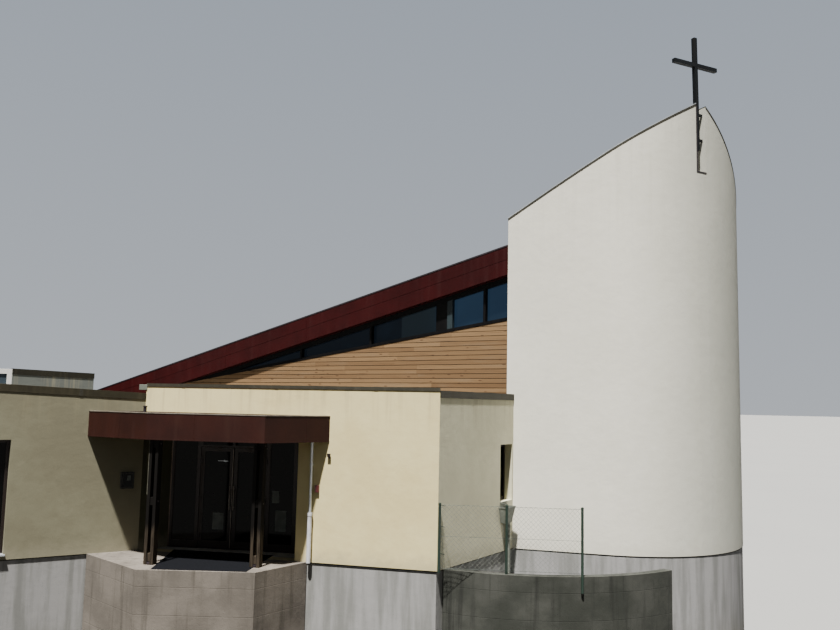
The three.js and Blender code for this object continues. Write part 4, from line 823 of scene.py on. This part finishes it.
# Gable: level boards on battens, cut along the sloping sill
boards = {
    "pitch": 0.1103, "gap": 0.013, "back": 0.002, "thick": 0.02, "low": 2.985, "top": 5.096, "fall": 0.134,
    "clear": 0.006, "start": 0.012, "end": 14.6, "shortest": 1.6, "longest": 4.2, "draws": 12, "shift": 1.5,
    "lastLength": 0.05, "cut": 0.001, "thinnest": 0.0005, "seed": 11,
}


def boardRows(s):
    # Every row is split at random places; a board is cut where the sill's slope crosses it.
    draw = np.random.default_rng(s["seed"])
    outlines, tones = [], []
    for low in np.arange(s["low"], s["top"], s["pitch"]):
        high = low + s["pitch"] - s["gap"]
        reach = [(s["top"] - s["clear"] - level) / s["fall"] for level in (low, high)]
        end = min(reach[0], s["end"])
        drawn = np.cumsum(draw.uniform(s["shortest"], s["longest"], s["draws"]))
        drawn = drawn + draw.uniform(-s["shift"], 0.0)
        joints = [s["start"], *[joint for joint in drawn if s["start"] < joint < end - s["lastLength"]], end]
        for start, stop in zip(joints, joints[1:]):
            a, b = start + s["cut"], stop - s["cut"]
            level = s["top"] - s["clear"] - s["fall"] * np.array([a, b])
            corner = (b, max(level[1], low + s["thinnest"]))
            if level[1] >= high:
                top = [(b, high), (a, high)]
            elif level[0] <= high:
                top = [corner, (a, level[0])]
            else:
                top = [corner, (reach[1], high), (a, high)]
            outlines.append([(a, low), (b, low), *top])
            tones.append(draw.uniform(0.0, 1.0))
    return outlines, tones


boardOutlines, boardTones = boardRows(boards)
gableBoards = addPiece(
    "gable_boards", [prism(gableFace, outline, boards["back"], boards["thick"]) for outline in boardOutlines],
    "gable boards", bevel=0.002)
toneValues = np.repeat(boardTones, [2 * len(outline) for outline in boardOutlines])
gableBoards.data.attributes.new("boardTone", "FLOAT", "POINT").data.foreach_set("value", toneValues)
print("gable boards:", len(boardTones))

# Clerestory: panes with a painted reflection of the sky, and two posts between the sloping sill and the
# fascia's lower edge
clerestory = {
    "dark": (1.739, 2.071, -0.02), "pale": (1.592, 1.739, 0.004), "back": -0.1,
    "bottom": 5.166, "sillFall": 0.134, "top": 6.013, "fall": 0.228,
}


def clerestoryPost(start, stop, front, s):
    # bottom and top are a level at the tower's corner minus the fall times the distance
    bottom, top = [(level - fall * start, level - fall * stop)
                   for level, fall in ((s["bottom"], s["sillFall"]), (s["top"], s["fall"]))]
    outline = [(start, bottom[0]), (stop, bottom[1]), (stop, top[1]), (start, top[0])]
    return prism(gableFace, outline, s["back"], front)


gableZero = float((gableStart + planOrigin[:2]) @ toward(plan["gableBearing"]))
paintSkyGlass("clerestory glass", skyGlass, gableZero)
coat("clerestory glass", ["clerestory_glass"])
# the pale post's tone is a painted highlight, the sunlit edge of a mullion
for name, material in (("dark", "black frame"), ("pale", "lit edge frame")):
    addPiece("clerestory_" + name + "_post", [clerestoryPost(*clerestory[name], clerestory)], material,
             bevel=0.003)
print("clerestory dressed")


def sidestep(path, out):
    # a line of plan points moved to its right by each of the distances in out, with mitred corners
    path = np.asarray(path, float)
    way = np.diff(path, axis=0)
    way /= np.linalg.norm(way, axis=1, keepdims=True)
    right = np.stack([way[:, 1], -way[:, 0]], axis=1)
    before, after = np.concatenate([right[:1], right]), np.concatenate([right, right[-1:]])
    mitre = (before + after) / (1.0 + (before * after).sum(axis=1, keepdims=True))
    return path[:, None, :] + np.asarray(out)[None, :, None] * mitre[:, None, :]


def moulding(path, profile):
    # a profile of distance to the right and height, carried along a line of plan points
    profile = np.asarray(profile, float)
    return sweep(lifted(sidestep(path, profile[:, 0]), profile[:, 1]))


# Fascia: two bands of folded sheet with a shadow joint between them, butt seams, and a trim along the top
fascia = {
    "top": 6.82, "fall": 0.228, "deep": 0.69, "lowest": 3.11, "start": 0.012, "end": 15.19,
    "sheetLength": 3.04, "shortest": 1.0, "band": 0.335, "joint": 0.012, "back": -0.01, "proud": 0.004,
    "seam": 0.004, "thinnest": 0.02, "trimDeep": 0.035, "trimRise": 0.004, "trimDepths": (-0.05, 0.012),
}


def fasciaSheets(s):
    # each sheet is a parallelogram between two lines parallel to the roof's edge
    parts = []
    stops = np.append(np.arange(s["start"], s["end"] - s["shortest"], s["sheetLength"]), s["end"])
    for start, stop in zip(stops, stops[1:]):
        a, b = start + s["seam"] / 2.0, stop - s["seam"] / 2.0
        for upper, lower in ((s["trimDeep"], s["band"]), (s["band"] + s["joint"], s["deep"])):
            tops = [s["top"] - s["fall"] * along - upper for along in (a, b)]
            bottoms = [max(s["top"] - s["fall"] * along - lower, s["lowest"]) for along in (a, b)]
            if tops[1] > bottoms[1] + s["thinnest"]:
                outline = [(a, bottoms[0]), (b, bottoms[1]), (b, tops[1]), (a, tops[0])]
                parts.append(prism(fasciaFace, outline, s["back"], s["proud"]))
    return parts


def slopingBand(s, low, high):
    # an outline that follows the roof's slope, from low to high over its top line
    a, b = s["start"], s["end"]
    left, right = [fascia["top"] - fascia["fall"] * along for along in (a, b)]
    return [(a, left + low), (b, right + low), (b, right + high), (a, left + high)]


trimLine = slopingBand(fascia, fascia["trimRise"] - fascia["trimDeep"], fascia["trimRise"])
addPiece("fascia_sheets", fasciaSheets(fascia), "fascia sheet", bevel=0.0015)
addPiece("fascia_top_trim", [prism(fasciaFace, trimLine, *fascia["trimDepths"])], "dark trim",
         bevel=0.002)

# Nave roof: standing seams down the slope
seams = {
    "pitch": 0.5, "wide": 0.014, "low": -0.03, "high": 0.008, "start": 0.04, "end": 15.17, "first": 0.32,
    "last": 12.3,
}
seamLine = slopingBand(seams, seams["low"], seams["high"])
addPiece("nave_roof_seams", [prism(fasciaFace, seamLine, -back - seams["wide"], -back)
                             for back in np.arange(seams["first"], seams["last"], seams["pitch"])],
         "roof sheet", bevel=0.003)
print("roof edge dressed")

# Canopy: a sheet-clad box with cover strips, a pale lip along its top and a fold along its bottom
canopy = {
    "alongWing": 1.12, "alongFront": 2.23, "fromWall": 0.002, "corners": [(-5.6, -0.01), (-3.25, -0.5)],
    "low": 2.34, "high": 2.85,
    "strip": {"wide": 0.03, "pitch": 1.32, "share": 0.72, "last": 0.2, "rest": (-0.01, 0.003, 2.36, 2.838)},
    "lip": [(-0.05, -0.004), (0.008, -0.012), (0.008, 0.003), (-0.05, 0.006)],
    "fold": [(-0.03, -0.003), (0.004, -0.003), (0.004, 0.02), (-0.03, 0.02)],
    "outletFromFront": 0.07, "outletFromWing": 0.12,
    "outlet": ([2.78, 2.95, 2.95, 2.97, 2.97], [0.034, 0.034, 0.046, 0.046, 0.03]),
}
canopyLine = [beside(wingFront, canopy["alongWing"], canopy["fromWall"]), *canopy["corners"],
              beside(annexFront, canopy["alongFront"], canopy["fromWall"])]


def canopyStrips(line, s):
    # upright strips at even distances along each side of the canopy
    parts = []
    for start, stop in zip(line, line[1:]):
        span = np.subtract(stop, start)
        face = wallLine(start, math.degrees(math.atan2(span[1], span[0])), -90)
        places = np.arange(s["pitch"] * s["share"], float(np.hypot(*span)) - s["last"], s["pitch"])
        parts += [box for place in places for box in wallBoxes(face, [place, place + s["wide"], *s["rest"]])]
    return parts


def raised(profile, level):
    # a profile with the level added to every height
    return [(out, level + rise) for out, rise in profile]


lip, fold = [moulding(canopyLine, raised(canopy[profile], canopy[level]))
             for profile, level in (("lip", "high"), ("fold", "low"))]
addPiece("canopy_top_lip", [lip], "pale trim")
addPiece("canopy_cover_strips", [fold, *canopyStrips(canopyLine, canopy["strip"])], "canopy sheet",
         bevel=0.001)
outletPlace = beside(annexFront, plan["annexLength"], canopy["outletFromFront"])
outletPlace = outletPlace + canopy["outletFromWing"] * wingFront["out"]
addPiece("canopy_outlet", [pipe(outletPlace, *canopy["outlet"])], "dark trim", smooth=40)
print("canopy dressed")

# Canopy posts: two planks held apart by blocks, on steel shoes
posts = {
    "places": {"left": (-5.44, 0.13), "right": (-3.42, 0.06)}, "bearing": plan["annexBearing"] - 180.0,
    "wide": 0.2, "deep": 0.15, "plank": 0.066, "heights": (0.004, 2.3395), "shoe": 0.05, "shoeClear": 0.004,
    "blockHigh": 0.15, "blockSunk": 0.02, "blocks": (0.06, 1.1, 2.1895), "bolt": 0.011, "boltPast": 0.008,
    "bolts": (1.164, 2.25), "paleWood": {"past": 0.003, "wide": 0.009, "deep": 0.004, "heights": (1.3, 2.3295)},
}


def postParts(s):
    # rows of boxes: the planks with their blocks, the shoe with the bolts, and a pale strip on the front
    # edge, painted highlight where the sun catches the plank's edge
    edge, deep, bolt, paleWood = s["wide"] / 2.0, s["deep"] / 2.0, s["bolt"], s["paleWood"]
    inside = edge - s["plank"]
    wood = [[start, stop, -deep, deep, *s["heights"]] for start, stop in ((-edge, -inside), (inside, edge))]
    wood += [[-inside, inside, s["blockSunk"] - deep, deep - s["blockSunk"], level, level + s["blockHigh"]]
             for level in s["blocks"]]
    steel = [[s["shoeClear"] - inside, inside - s["shoeClear"], -deep, deep, 0.0, s["shoe"]]]
    steel += [[-edge - s["boltPast"], edge + s["boltPast"], -bolt, bolt, level, level + 2.0 * bolt]
              for level in s["bolts"]]
    return wood, steel, [-edge - paleWood["past"], -edge + paleWood["wide"], deep - paleWood["deep"], deep + paleWood["past"],
                         *paleWood["heights"]]


wood, steel, litEdgeSpan = postParts(posts)
for name, place in posts["places"].items():
    face = wallLine(place, posts["bearing"], -90)
    addPiece("canopy_planks_" + name, wallBoxes(face, wood), "post planks", bevel=0.004,
             instead=("canopy_post_" + name,))
    addPiece("post_steel_" + name, wallBoxes(face, steel), "dark trim", bevel=0.003)
    # a pale strip up the left post's front edge: painted highlight where the sun catches the plank
    if name == "left":
        addPiece("post_lit_edge", wallBoxes(face, litEdgeSpan), "lit post edge", bevel=0.0015)
print("posts built")

# Entrance screen: glass over the plain panes, pull bars, a pale edge on the meeting stile, blank notices
screen = {
    "doorWidth": 0.745, "meeting": 0.008, "hinge": 0.0083, "stile": 0.0692, "bottomRail": 0.1492,
    "light": (0.0, 2.34), "door": (0.008, 2.112), "glass": (-0.0478, -0.0222), "bead": 0.014,
    "beadDepths": (-0.03, -0.012),
}
middle = screenWidth / 2.0
leftPost, rightPost = middle - screen["doorWidth"], middle + screen["doorWidth"]
paneSpans = {
    "left_light": (0.0, leftPost, *screen["light"], "building"),
    "right_light": (rightPost, screenWidth, *screen["light"], "building"),
    "left_door": (leftPost + screen["hinge"], middle - screen["meeting"], *screen["door"], "door_left"),
    "right_door": (middle + screen["meeting"], rightPost - screen["hinge"], *screen["door"], "door_right"),
}


def frameRows(start, stop, low, high, wide, near, far):
    # four boxes round an opening: the uprights first, and between them the lower and the upper one
    return [[start, start + wide, near, far, low, high], [stop - wide, stop, near, far, low, high],
            [start + wide, stop - wide, near, far, low, low + wide],
            [start + wide, stop - wide, near, far, high - wide, high]]


for name, (start, stop, low, high, body) in paneSpans.items():
    stile = screen["stile"]
    pane = (start + stile, stop - stile, low + screen["bottomRail"], high - stile)
    addPiece("glass_" + name, wallBoxes(screenFace, [*pane[:2], *screen["glass"], *pane[2:]]), "dark glass",
             body=body)
    addPiece("beads_" + name, wallBoxes(screenFace, frameRows(*pane, screen["bead"], *screen["beadDepths"])),
             "dark frame", body=body, bevel=0.002)
transom = {"side": 0.04, "centre": 0.03, "rest": (-0.004, 0.001, 2.16, 2.30)}
addPiece("glass_transom", wallBoxes(screenFace, [
    [leftPost + transom["side"], middle - transom["centre"], *transom["rest"]],
    [middle + transom["centre"], rightPost - transom["side"], *transom["rest"]]]), "dark glass")

pulls = {
    "levels": [0.82, 0.826, 1.314, 1.32], "radii": [0.008, 0.011, 0.011, 0.008], "out": 0.045, "inset": 0.044,
    "standLevels": (0.88, 1.26), "standBack": -0.011, "standRadius": 0.007,
}


def pullBar(place, s):
    # an upright bar that narrows at its ends, on two level stands
    bar = tube(onWall(screenFace, place, s["out"], s["levels"]), s["radii"], 16, (*screenFace["out"], 0.0))
    stands = [onWall(screenFace, place, [s["standBack"], s["out"]], level) for level in s["standLevels"]]
    return [bar, *[tube(stand, s["standRadius"], 12, (0.0, 0.0, 1.0)) for stand in stands]]


for name, side in (("left", -1.0), ("right", 1.0)):
    addPiece("pull_bar_" + name, pullBar(middle + side * pulls["inset"], pulls), "pale trim",
             body="door_" + name, smooth=40)


def addBoxes(rows):
    # one piece for each name: its wall, its boxes, and the rest of what addPiece takes
    for name, (wall, spans, material, slot, rounding, body) in rows.items():
        addPiece(name, wallBoxes(wall, spans), material, body=body, bevel=rounding)


addBoxes({
    "door_closer": (screenFace, [[1.06, 1.29, -0.012, -0.002, 1.828, 1.841],
                                 [1.2, 1.25, -0.012, 0.002, 1.82, 1.85]],
                    "zinc sheet", "zinc", 0.002, "door_left"),
    "door_edge_strip": (screenFace, [middle - 0.022, middle - 0.0095, -0.0104, -0.0085, 0.03, 2.09],
                        "pale trim", "darkFrame", None, "door_left"),
    "screen_edge_trim": (screenFace, [0.004, 0.03, -0.0005, 0.003, 0.02, 2.33],
                         "wood trim", "darkFrame", None, "building"),
})
paper = (-0.0222, -0.0207)   # on the inside of the glass
notices = {
    "left_door": [[0.99, 1.24, *paper, 0.40, 0.75]],
    "right_light": [[2.30, 2.45, *paper, 1.00, 1.25], [2.38, 2.62, *paper, 0.42, 0.85]],
}
for name, papers in notices.items():
    addPiece("blank_notices_" + name, wallBoxes(screenFace, papers), "blank paper", body=paneSpans[name][4])
print("entrance dressed")


# Windows: glass over the plain panes, members in the openings that only have a sheet behind them, and sills
def meet(start, bearing, other, otherBearing):
    # how far along one bearing the line through start meets the line through other along another
    ways = np.stack([toward(bearing), -toward(otherBearing)], axis=1)
    return float(np.linalg.solve(ways, np.subtract(other, start))[0])


windows = {
    "inside": 0.0598, "glass": (-0.051, -0.019), "frameWide": 0.06, "frameDepths": (-0.2, -0.14),
    "fromTower": (0.64, 0.06), "sillPast": 0.03, "sillDepths": (-0.14, 0.05), "sillHeights": (-0.025, 0.004),
}
sideReach = meet(plan["frontCorner"], plan["sideBearing"], plan["towerCorner"], tower["faceBearing"])
sideHole = (*[sideReach - along for along in windows["fromTower"]], 1.06, 2.28)
wingHole, hallHole = (2.516, 3.716, 0.1, 2.27), (1.5, 3.29, 3.15, 3.89)
westHoles = [(place, place + 1.2, 0.9, 2.27) for place in (1.6, 5.4)]
northHoles = [(place, place + 0.9, 1.06, 2.28) for place in (2.4, 5.6, 8.8)]


def windowGlass(start, stop, low, high, setback, s):
    # a pane within the plain frame's members, slightly thicker than the plain pane
    near, far = [depth - setback for depth in s["glass"]]
    return [start + s["inside"], stop - s["inside"], near, far, low + s["inside"], high - s["inside"]]


def windowMembers(start, stop, low, high, s):
    # a frame round an opening with one upright in the middle
    wide, middle = s["frameWide"], (start + stop) / 2.0
    return [*frameRows(start, stop, low, high, wide, *s["frameDepths"]),
            [middle - wide / 2.0, middle + wide / 2.0, *s["frameDepths"], low + wide, high - wide]]


def windowSill(start, stop, low, s):
    # a sheet under the opening that runs past its sides and the wall's face
    return [start - s["sillPast"], stop + s["sillPast"], *s["sillDepths"],
            *[low + rise for rise in s["sillHeights"]]]


for name, wall, hole, setback, glass in (
        ("side", annexSide, sideHole, 0.18, "dark glass"), ("wing", wingFront, wingHole, 0.14, "dark glass"),
        ("hall", hallFront, hallHole, 0.02, "hall glass")):
    addPiece("glass_" + name + "_window", wallBoxes(wall, windowGlass(*hole, setback, windows)), glass)
casing = {"wide": 0.135, "high": 0.14, "depths": (-0.0202, -0.011), "clear": 0.001}


def casingRows(start, stop, low, high, s):
    # a broad surround in the opening: two uprights, and the head between them
    clear, a, b = s["clear"], start + s["wide"], stop - s["wide"]
    return [[start + clear, a, *s["depths"], low + clear, high - clear],
            [b, stop - clear, *s["depths"], low + clear, high - clear],
            [a, b, *s["depths"], high - s["high"], high - clear]]


addPiece("hall_window_casing", wallBoxes(hallFront, casingRows(*hallHole, casing)), "white frame",
         bevel=0.003)
for name, wall, holes in (("west", wingWest, westHoles), ("north", naveBack, northHoles)):
    rows = [row for hole in holes for row in windowMembers(*hole, windows)]
    addPiece(name + "_window_frames", wallBoxes(wall, rows), "dark frame", bevel=0.003)
sills = [box for wall, holes in ((wingWest, westHoles), (naveBack, northHoles), (wingFront, [wingHole]))
         for box in wallBoxes(wall, [windowSill(*hole[:3], windows) for hole in holes])]
addPiece("window_sills", sills, "zinc sheet", bevel=0.002)
sideSill = {"along": (-0.02, 0.3), "back": -0.16, "out": 0.03, "further": 0.012, "lower": 0.03,
            "heights": (-0.018, -0.006)}


def steppedSill(start, top, s):
    # three sheets, each further out and lower than the one above it
    return [[*[start + along for along in s["along"]], s["back"], s["out"] + s["further"] * step,
             *[top - s["lower"] * step + rise for rise in s["heights"]]] for step in range(3)]


addPiece("side_window_sill", wallBoxes(annexSide, steppedSill(sideHole[0], sideHole[2], sideSill)),
         "grey zinc", bevel=0.002)
print("windows dressed")

# Copings: cover straps over the joints; each run has its wall, length, lower and upper level, and slope
copings = {
    "depths": (-0.3145, 0.0145), "proud": 0.0025, "wide": 0.07, "pitch": 2.1, "first": 0.6, "last": 0.3,
}
copingRuns = [
    (annexFront, 6.3, 3.3755, 3.44, 0.0), (annexSide, 3.0, 3.2505, 3.39, 0.0),
    (wingFront, 4.8, 3.0955, 3.235, 0.0398), (wingWest, 8.3, 3.2905, 3.43, 0.0),
    (hallWest, 4.9, 3.8405, 3.99, 0.0),
]


def copingStraps(wall, length, low, high, slope, s):
    # a strap over the outer face, the top and the inner face at each joint
    places = np.arange(s["pitch"] * s["first"], length - s["last"], s["pitch"])
    return wallBoxes(wall, [[place, place + s["wide"], *s["depths"], low + slope * place - s["proud"],
                             high + slope * place + s["proud"]] for place in places])


addPiece("coping_straps", [box for run in copingRuns for box in copingStraps(*run, copings)], "coping sheet",
         bevel=0.001)
flashing = {"top": [(3.292, 3.9035), (5.28, 3.851), (5.542, 3.851)], "deep": 0.162, "depths": (-0.02, 0.0145)}
flashingLine = raised(flashing["top"], -flashing["deep"]) + flashing["top"][::-1]
addPiece("hall_front_flashing", [prism(hallFront, flashingLine, *flashing["depths"])], "hall coping sheet",
         bevel=0.002)
addBoxes({"annex_coping_end": (annexFront, [6.34, 6.53, -0.1, 0.015, 3.3, 3.415],
                               "grey zinc", "zinc", 0.004, "building")})
print("copings dressed")

# Rainwater: the side hopper with its rolled lip, and the front pipe with collars
hopper = {
    "mouth": (2.575, 3.05), "outlet": (2.63, 2.97), "wall": 0.008,
    "outside": [("outlet", 0.02, 0.12, 0.61), ("mouth", 0.0005, 0.165, 0.91), ("mouth", 0.0005, 0.165, 0.95)],
    "inside": [("mouth", 0.008, 0.157, 0.95), ("mouth", 0.008, 0.157, 0.91), ("outlet", 0.03, 0.11, 0.63)],
    "lip": [(-0.004, 0.93), (0.01, 0.93), (0.01, 0.95), (-0.004, 0.95)],
    "lipDepths": [0.001, 0.165, 0.165, 0.001],
    "pipePlace": (2.9, 0.07), "pipe": 0.042, "collars": [-2.3, -1.6, -0.5, 0.5, 0.63],
}


def hopperBody(s):
    # four-sided funnel: a wide mouth that narrows to the outlet, open at the top
    rings = []
    for inset, side in ((0.0, s["outside"]), (s["wall"], s["inside"])):
        for span, back, front, level in side:
            start, stop = s[span][0] + inset, s[span][1] - inset
            rings.append(onWall(annexSide, [start, stop, stop, start], [back, back, front, front], level))
    return sweep(rings)


def pipeCollars(levels, radius, proud=0.006, high=0.05):
    # radius over height: the pipe, and a wider sleeve at each collar's level
    ends, radii = [levels[0]], [radius]
    for level in levels[1:-1]:
        ends += [level, level, level + high, level + high]
        radii += [radius, radius + proud, radius + proud, radius]
    return ends + [levels[-1]], radii + [radius]


lipRun = beside(annexSide, np.repeat(hopper["mouth"], 2), hopper["lipDepths"])
sidePipe = pipe(beside(annexSide, *hopper["pipePlace"]), *pipeCollars(hopper["collars"], hopper["pipe"]))
addPiece("side_hopper", [hopperBody(hopper), moulding(lipRun, hopper["lip"]), sidePipe], "grey zinc",
         smooth=35, instead=("side_rain_hopper",))
frontPipe = {
    "place": (2.56, 0.07), "lower": ([0.0005, 0.9, 0.9, 0.96, 0.96], [0.044, 0.044, 0.05, 0.05, 0.03]),
    "upper": 0.028, "collars": [0.93, 1.87, 2.3395], "bracket": (2.545, 2.575, 0.0, 0.07),
    "bracketHigh": 0.03, "bracketLevels": (0.5, 1.87),
}
frontPlace = beside(annexFront, *frontPipe["place"])
brackets = [[*frontPipe["bracket"], level, level + frontPipe["bracketHigh"]]
            for level in frontPipe["bracketLevels"]]
addPiece("front_pipe_lower", [pipe(frontPlace, *frontPipe["lower"])], "pale pipe", smooth=35)
addPiece("front_pipe_upper", [pipe(frontPlace, *pipeCollars(frontPipe["collars"], frontPipe["upper"])),
                              *wallBoxes(annexFront, brackets)],
         "zinc sheet", smooth=35, instead=("front_downpipe",))
print("rainwater goods built")

# Fence: posts, line wires and woven mesh between them
fence = {
    "centre": (2.08, 3.77), "radius": 4.05, "wall": 0.19, "angles": (-101.5, -81.5), "firstAlong": 0.015,
    "post": 0.026, "cap": 0.003, "capRound": 0.012, "top": 1.27, "capHigh": 0.04, "capDome": 0.01,
    "wire": 0.0025, "weave": 0.0016, "half": 0.045, "low": 0.05, "high": 1.24, "lineWire": 0.003,
    "lineHeights": (0.06, 0.65, 1.23), "tensioners": (1.235, 0.845, 0.34), "tensioner": 0.006,
    "pull": (0.105, -0.012, -0.028), "loose": [(0.03, -0.02, 0.8), (0.06, -0.03, 0.5), (0.12, -0.03, 0.02)],
}
firstPost = beside(annexSide, fence["firstAlong"], fence["post"] + fence["cap"])
wellTop = ahead(fence["centre"], fence["angles"][0], fence["radius"] - fence["wall"] / 2.0)
wellFace = ahead(fence["centre"], fence["angles"][1], fence["radius"] + fence["post"] + 0.002)


def fencePost(place, low, s):
    # a round post with a cap that is slightly wider and domed
    levels = [low, s["top"] - s["capHigh"], s["top"] - s["capHigh"], s["top"] - s["capDome"], s["top"]]
    wide = s["post"] + s["cap"]
    return pipe(place, levels, [s["post"], s["post"], wide, wide, s["capRound"]], 20)


def fenceMesh(start, stop, s):
    # Each wire zigzags between two columns; neighbours are half a step apart, so they hook together.
    span = np.subtract(stop, start)
    length = float(np.hypot(*span))
    columns = max(int(round(length / s["half"])), 2)
    levels = int(round((s["high"] - s["low"]) / s["half"]))
    wire, level = np.meshgrid(np.arange(columns - 1), np.arange(levels + 1), indexing="ij")
    odd = (level + wire) % 2
    normal = np.array([span[1], -span[0]]) / length
    flat = start + ((wire + odd) / columns)[..., None] * span + (1 - 2 * odd)[..., None] * s["weave"] * normal
    paths = lifted(flat, s["low"] + (s["high"] - s["low"]) * level / levels)
    return [tube(path, s["wire"], 4, (*normal, 0.0)) for path in paths]


def lineWires(start, stop, s):
    # straight wires from post to post, one at each height
    span = np.subtract(stop, start)
    aside = (*(np.array([span[1], -span[0]]) / np.hypot(*span)), 0.0)
    return [tube(lifted([start, stop], height), s["lineWire"], 6, aside) for height in s["lineHeights"]]


def wallWires(place, s):
    # short wires that hold the first post, and one that hangs loose from it
    place, aside = np.array([*place, 0.0]) + planOrigin, (0.0, 1.0, 0.0)
    ends = np.array([(0.0, 0.0, 0.0), s["pull"]])
    wires = [tube(place + (0.0, 0.0, height) + ends, s["tensioner"], 8, aside) for height in s["tensioners"]]
    return [*wires, tube(place + np.array(s["loose"]), s["wire"], 6, aside)]


addPiece("fence_left", [fencePost(firstPost, -0.02, fence), fencePost(wellTop, 0.0, fence),
                        *wallWires(firstPost, fence), *lineWires(firstPost, wellTop, fence)],
         "fence coating", smooth=40, instead=("fence_bay_left",))
addPiece("fence_right", [fencePost(wellFace, -0.29, fence), *lineWires(wellFace, wellTop, fence)],
         "fence coating", smooth=40, instead=("fence_bay_right",))
addPiece("fence_mesh", fenceMesh(firstPost, wellTop, fence) + fenceMesh(wellTop, wellFace, fence),
         "mesh wire")
print("fence built")

# Small fittings on the walls
addBoxes({
    "wing_notice_box": (wingFront, [0.165, 0.43, 0.0005, 0.06, 1.265, 1.6],
                        "shaded gap", "darkFrame", 0.006, "building"),
    "wing_notice_pane": (wingFront, [0.2, 0.395, 0.058, 0.0615, 1.3, 1.565],
                         "dark glass", "glass", None, "building"),
    "wing_notice_slip": (wingFront, [0.235, 0.31, 0.0605, 0.063, 1.43, 1.53],
                         "blank paper", "glass", None, "building"),
    "annex_wall_lamp": (annexFront, [[2.20, 2.235, 0.0005, 0.03, 2.02, 2.1],
                                     [2.185, 2.25, 0.02, 0.06, 2.05, 2.115]],
                        "dark frame", "darkFrame", 0.006, "building"),
    "red_call_box": (annexFront, [2.405, 2.49, 0.0005, 0.05, 1.35, 1.49],
                     "red enamel", "zinc", 0.006, "building"),
})
matting = {"corners": [(-5.28, -0.36), (-3.5, -0.42), (-3.3, 1.3), (-5.45, 1.72)], "heights": (0.0005, 0.003)}
matPoints = np.concatenate([lifted(matting["corners"], height) for height in matting["heights"]])
addPiece("entrance_mat", [(matPoints, boxSides)], "mat fibre", bevel=0.0008)
print("fittings built")


# Stage and light
def makeStage(s):
    # a plain floor with slow clouds of two pale tones
    p = Paint("studio floor")
    colour = p.mix(p.noise(0.12, 3.0), s["light"], s["dark"])
    p.finish(colour, s["roughness"], p.bump(p.noise(40.0, 2.0), 0.002))
    half = s["size"] / 2.0
    mesh = bpy.data.meshes.new("studio_floor")
    mesh.from_pydata([(-half, -half, 0.0), (half, -half, 0.0), (half, half, 0.0), (-half, half, 0.0)], [],
                     [(0, 1, 2, 3)])
    mesh.materials.append(p.material)
    floor = bpy.data.objects.new("studio_floor", mesh)
    bpy.context.scene.collection.objects.link(floor)
    floor.visible_diffuse = False    # a bright floor would light the walls from below


def makeSky(s):
    # the world: a pale sky above and the duller ground's light from below; the camera sees a backdrop instead
    world = bpy.data.worlds.new("studio")
    bpy.context.scene.world = world
    world.use_nodes = True
    tree = world.node_tree
    place, split = tree.nodes.new("ShaderNodeTexCoord"), tree.nodes.new("ShaderNodeSeparateXYZ")
    tree.links.new(place.outputs["Generated"], split.inputs[0])
    background, seen = tree.nodes["Background"], tree.nodes.new("ShaderNodeBackground")
    background.inputs["Strength"].default_value = s["strength"]
    for surface, low, high, reach in ((background, s["ground"], s["above"], s["aboveFrom"]),
                                      (seen, s["backdropLow"], s["backdropHigh"], s["backdropHighFrom"])):
        tones = tree.nodes.new("ShaderNodeValToRGB")
        first, last = tones.color_ramp.elements
        first.position, first.color, last.position, last.color = 0.0, (*low, 1.0), reach, (*high, 1.0)
        tree.links.new(split.outputs["Z"], tones.inputs[0])
        tree.links.new(tones.outputs[0], surface.inputs["Color"])
    rays, pick = tree.nodes.new("ShaderNodeLightPath"), tree.nodes.new("ShaderNodeMixShader")
    for index, output in enumerate((rays.outputs["Is Camera Ray"], background.outputs[0], seen.outputs[0])):
        tree.links.new(output, pick.inputs[index])
    tree.links.new(pick.outputs[0], tree.nodes["World Output"].inputs["Surface"])


makeCamera(camera)
makeStage(stageFloor)
makeSky(sky)
for name, sun in suns.items():
    makeSun(name, sun)
print("camera, floor and light set;", bpy.context.scene.view_settings.view_transform)
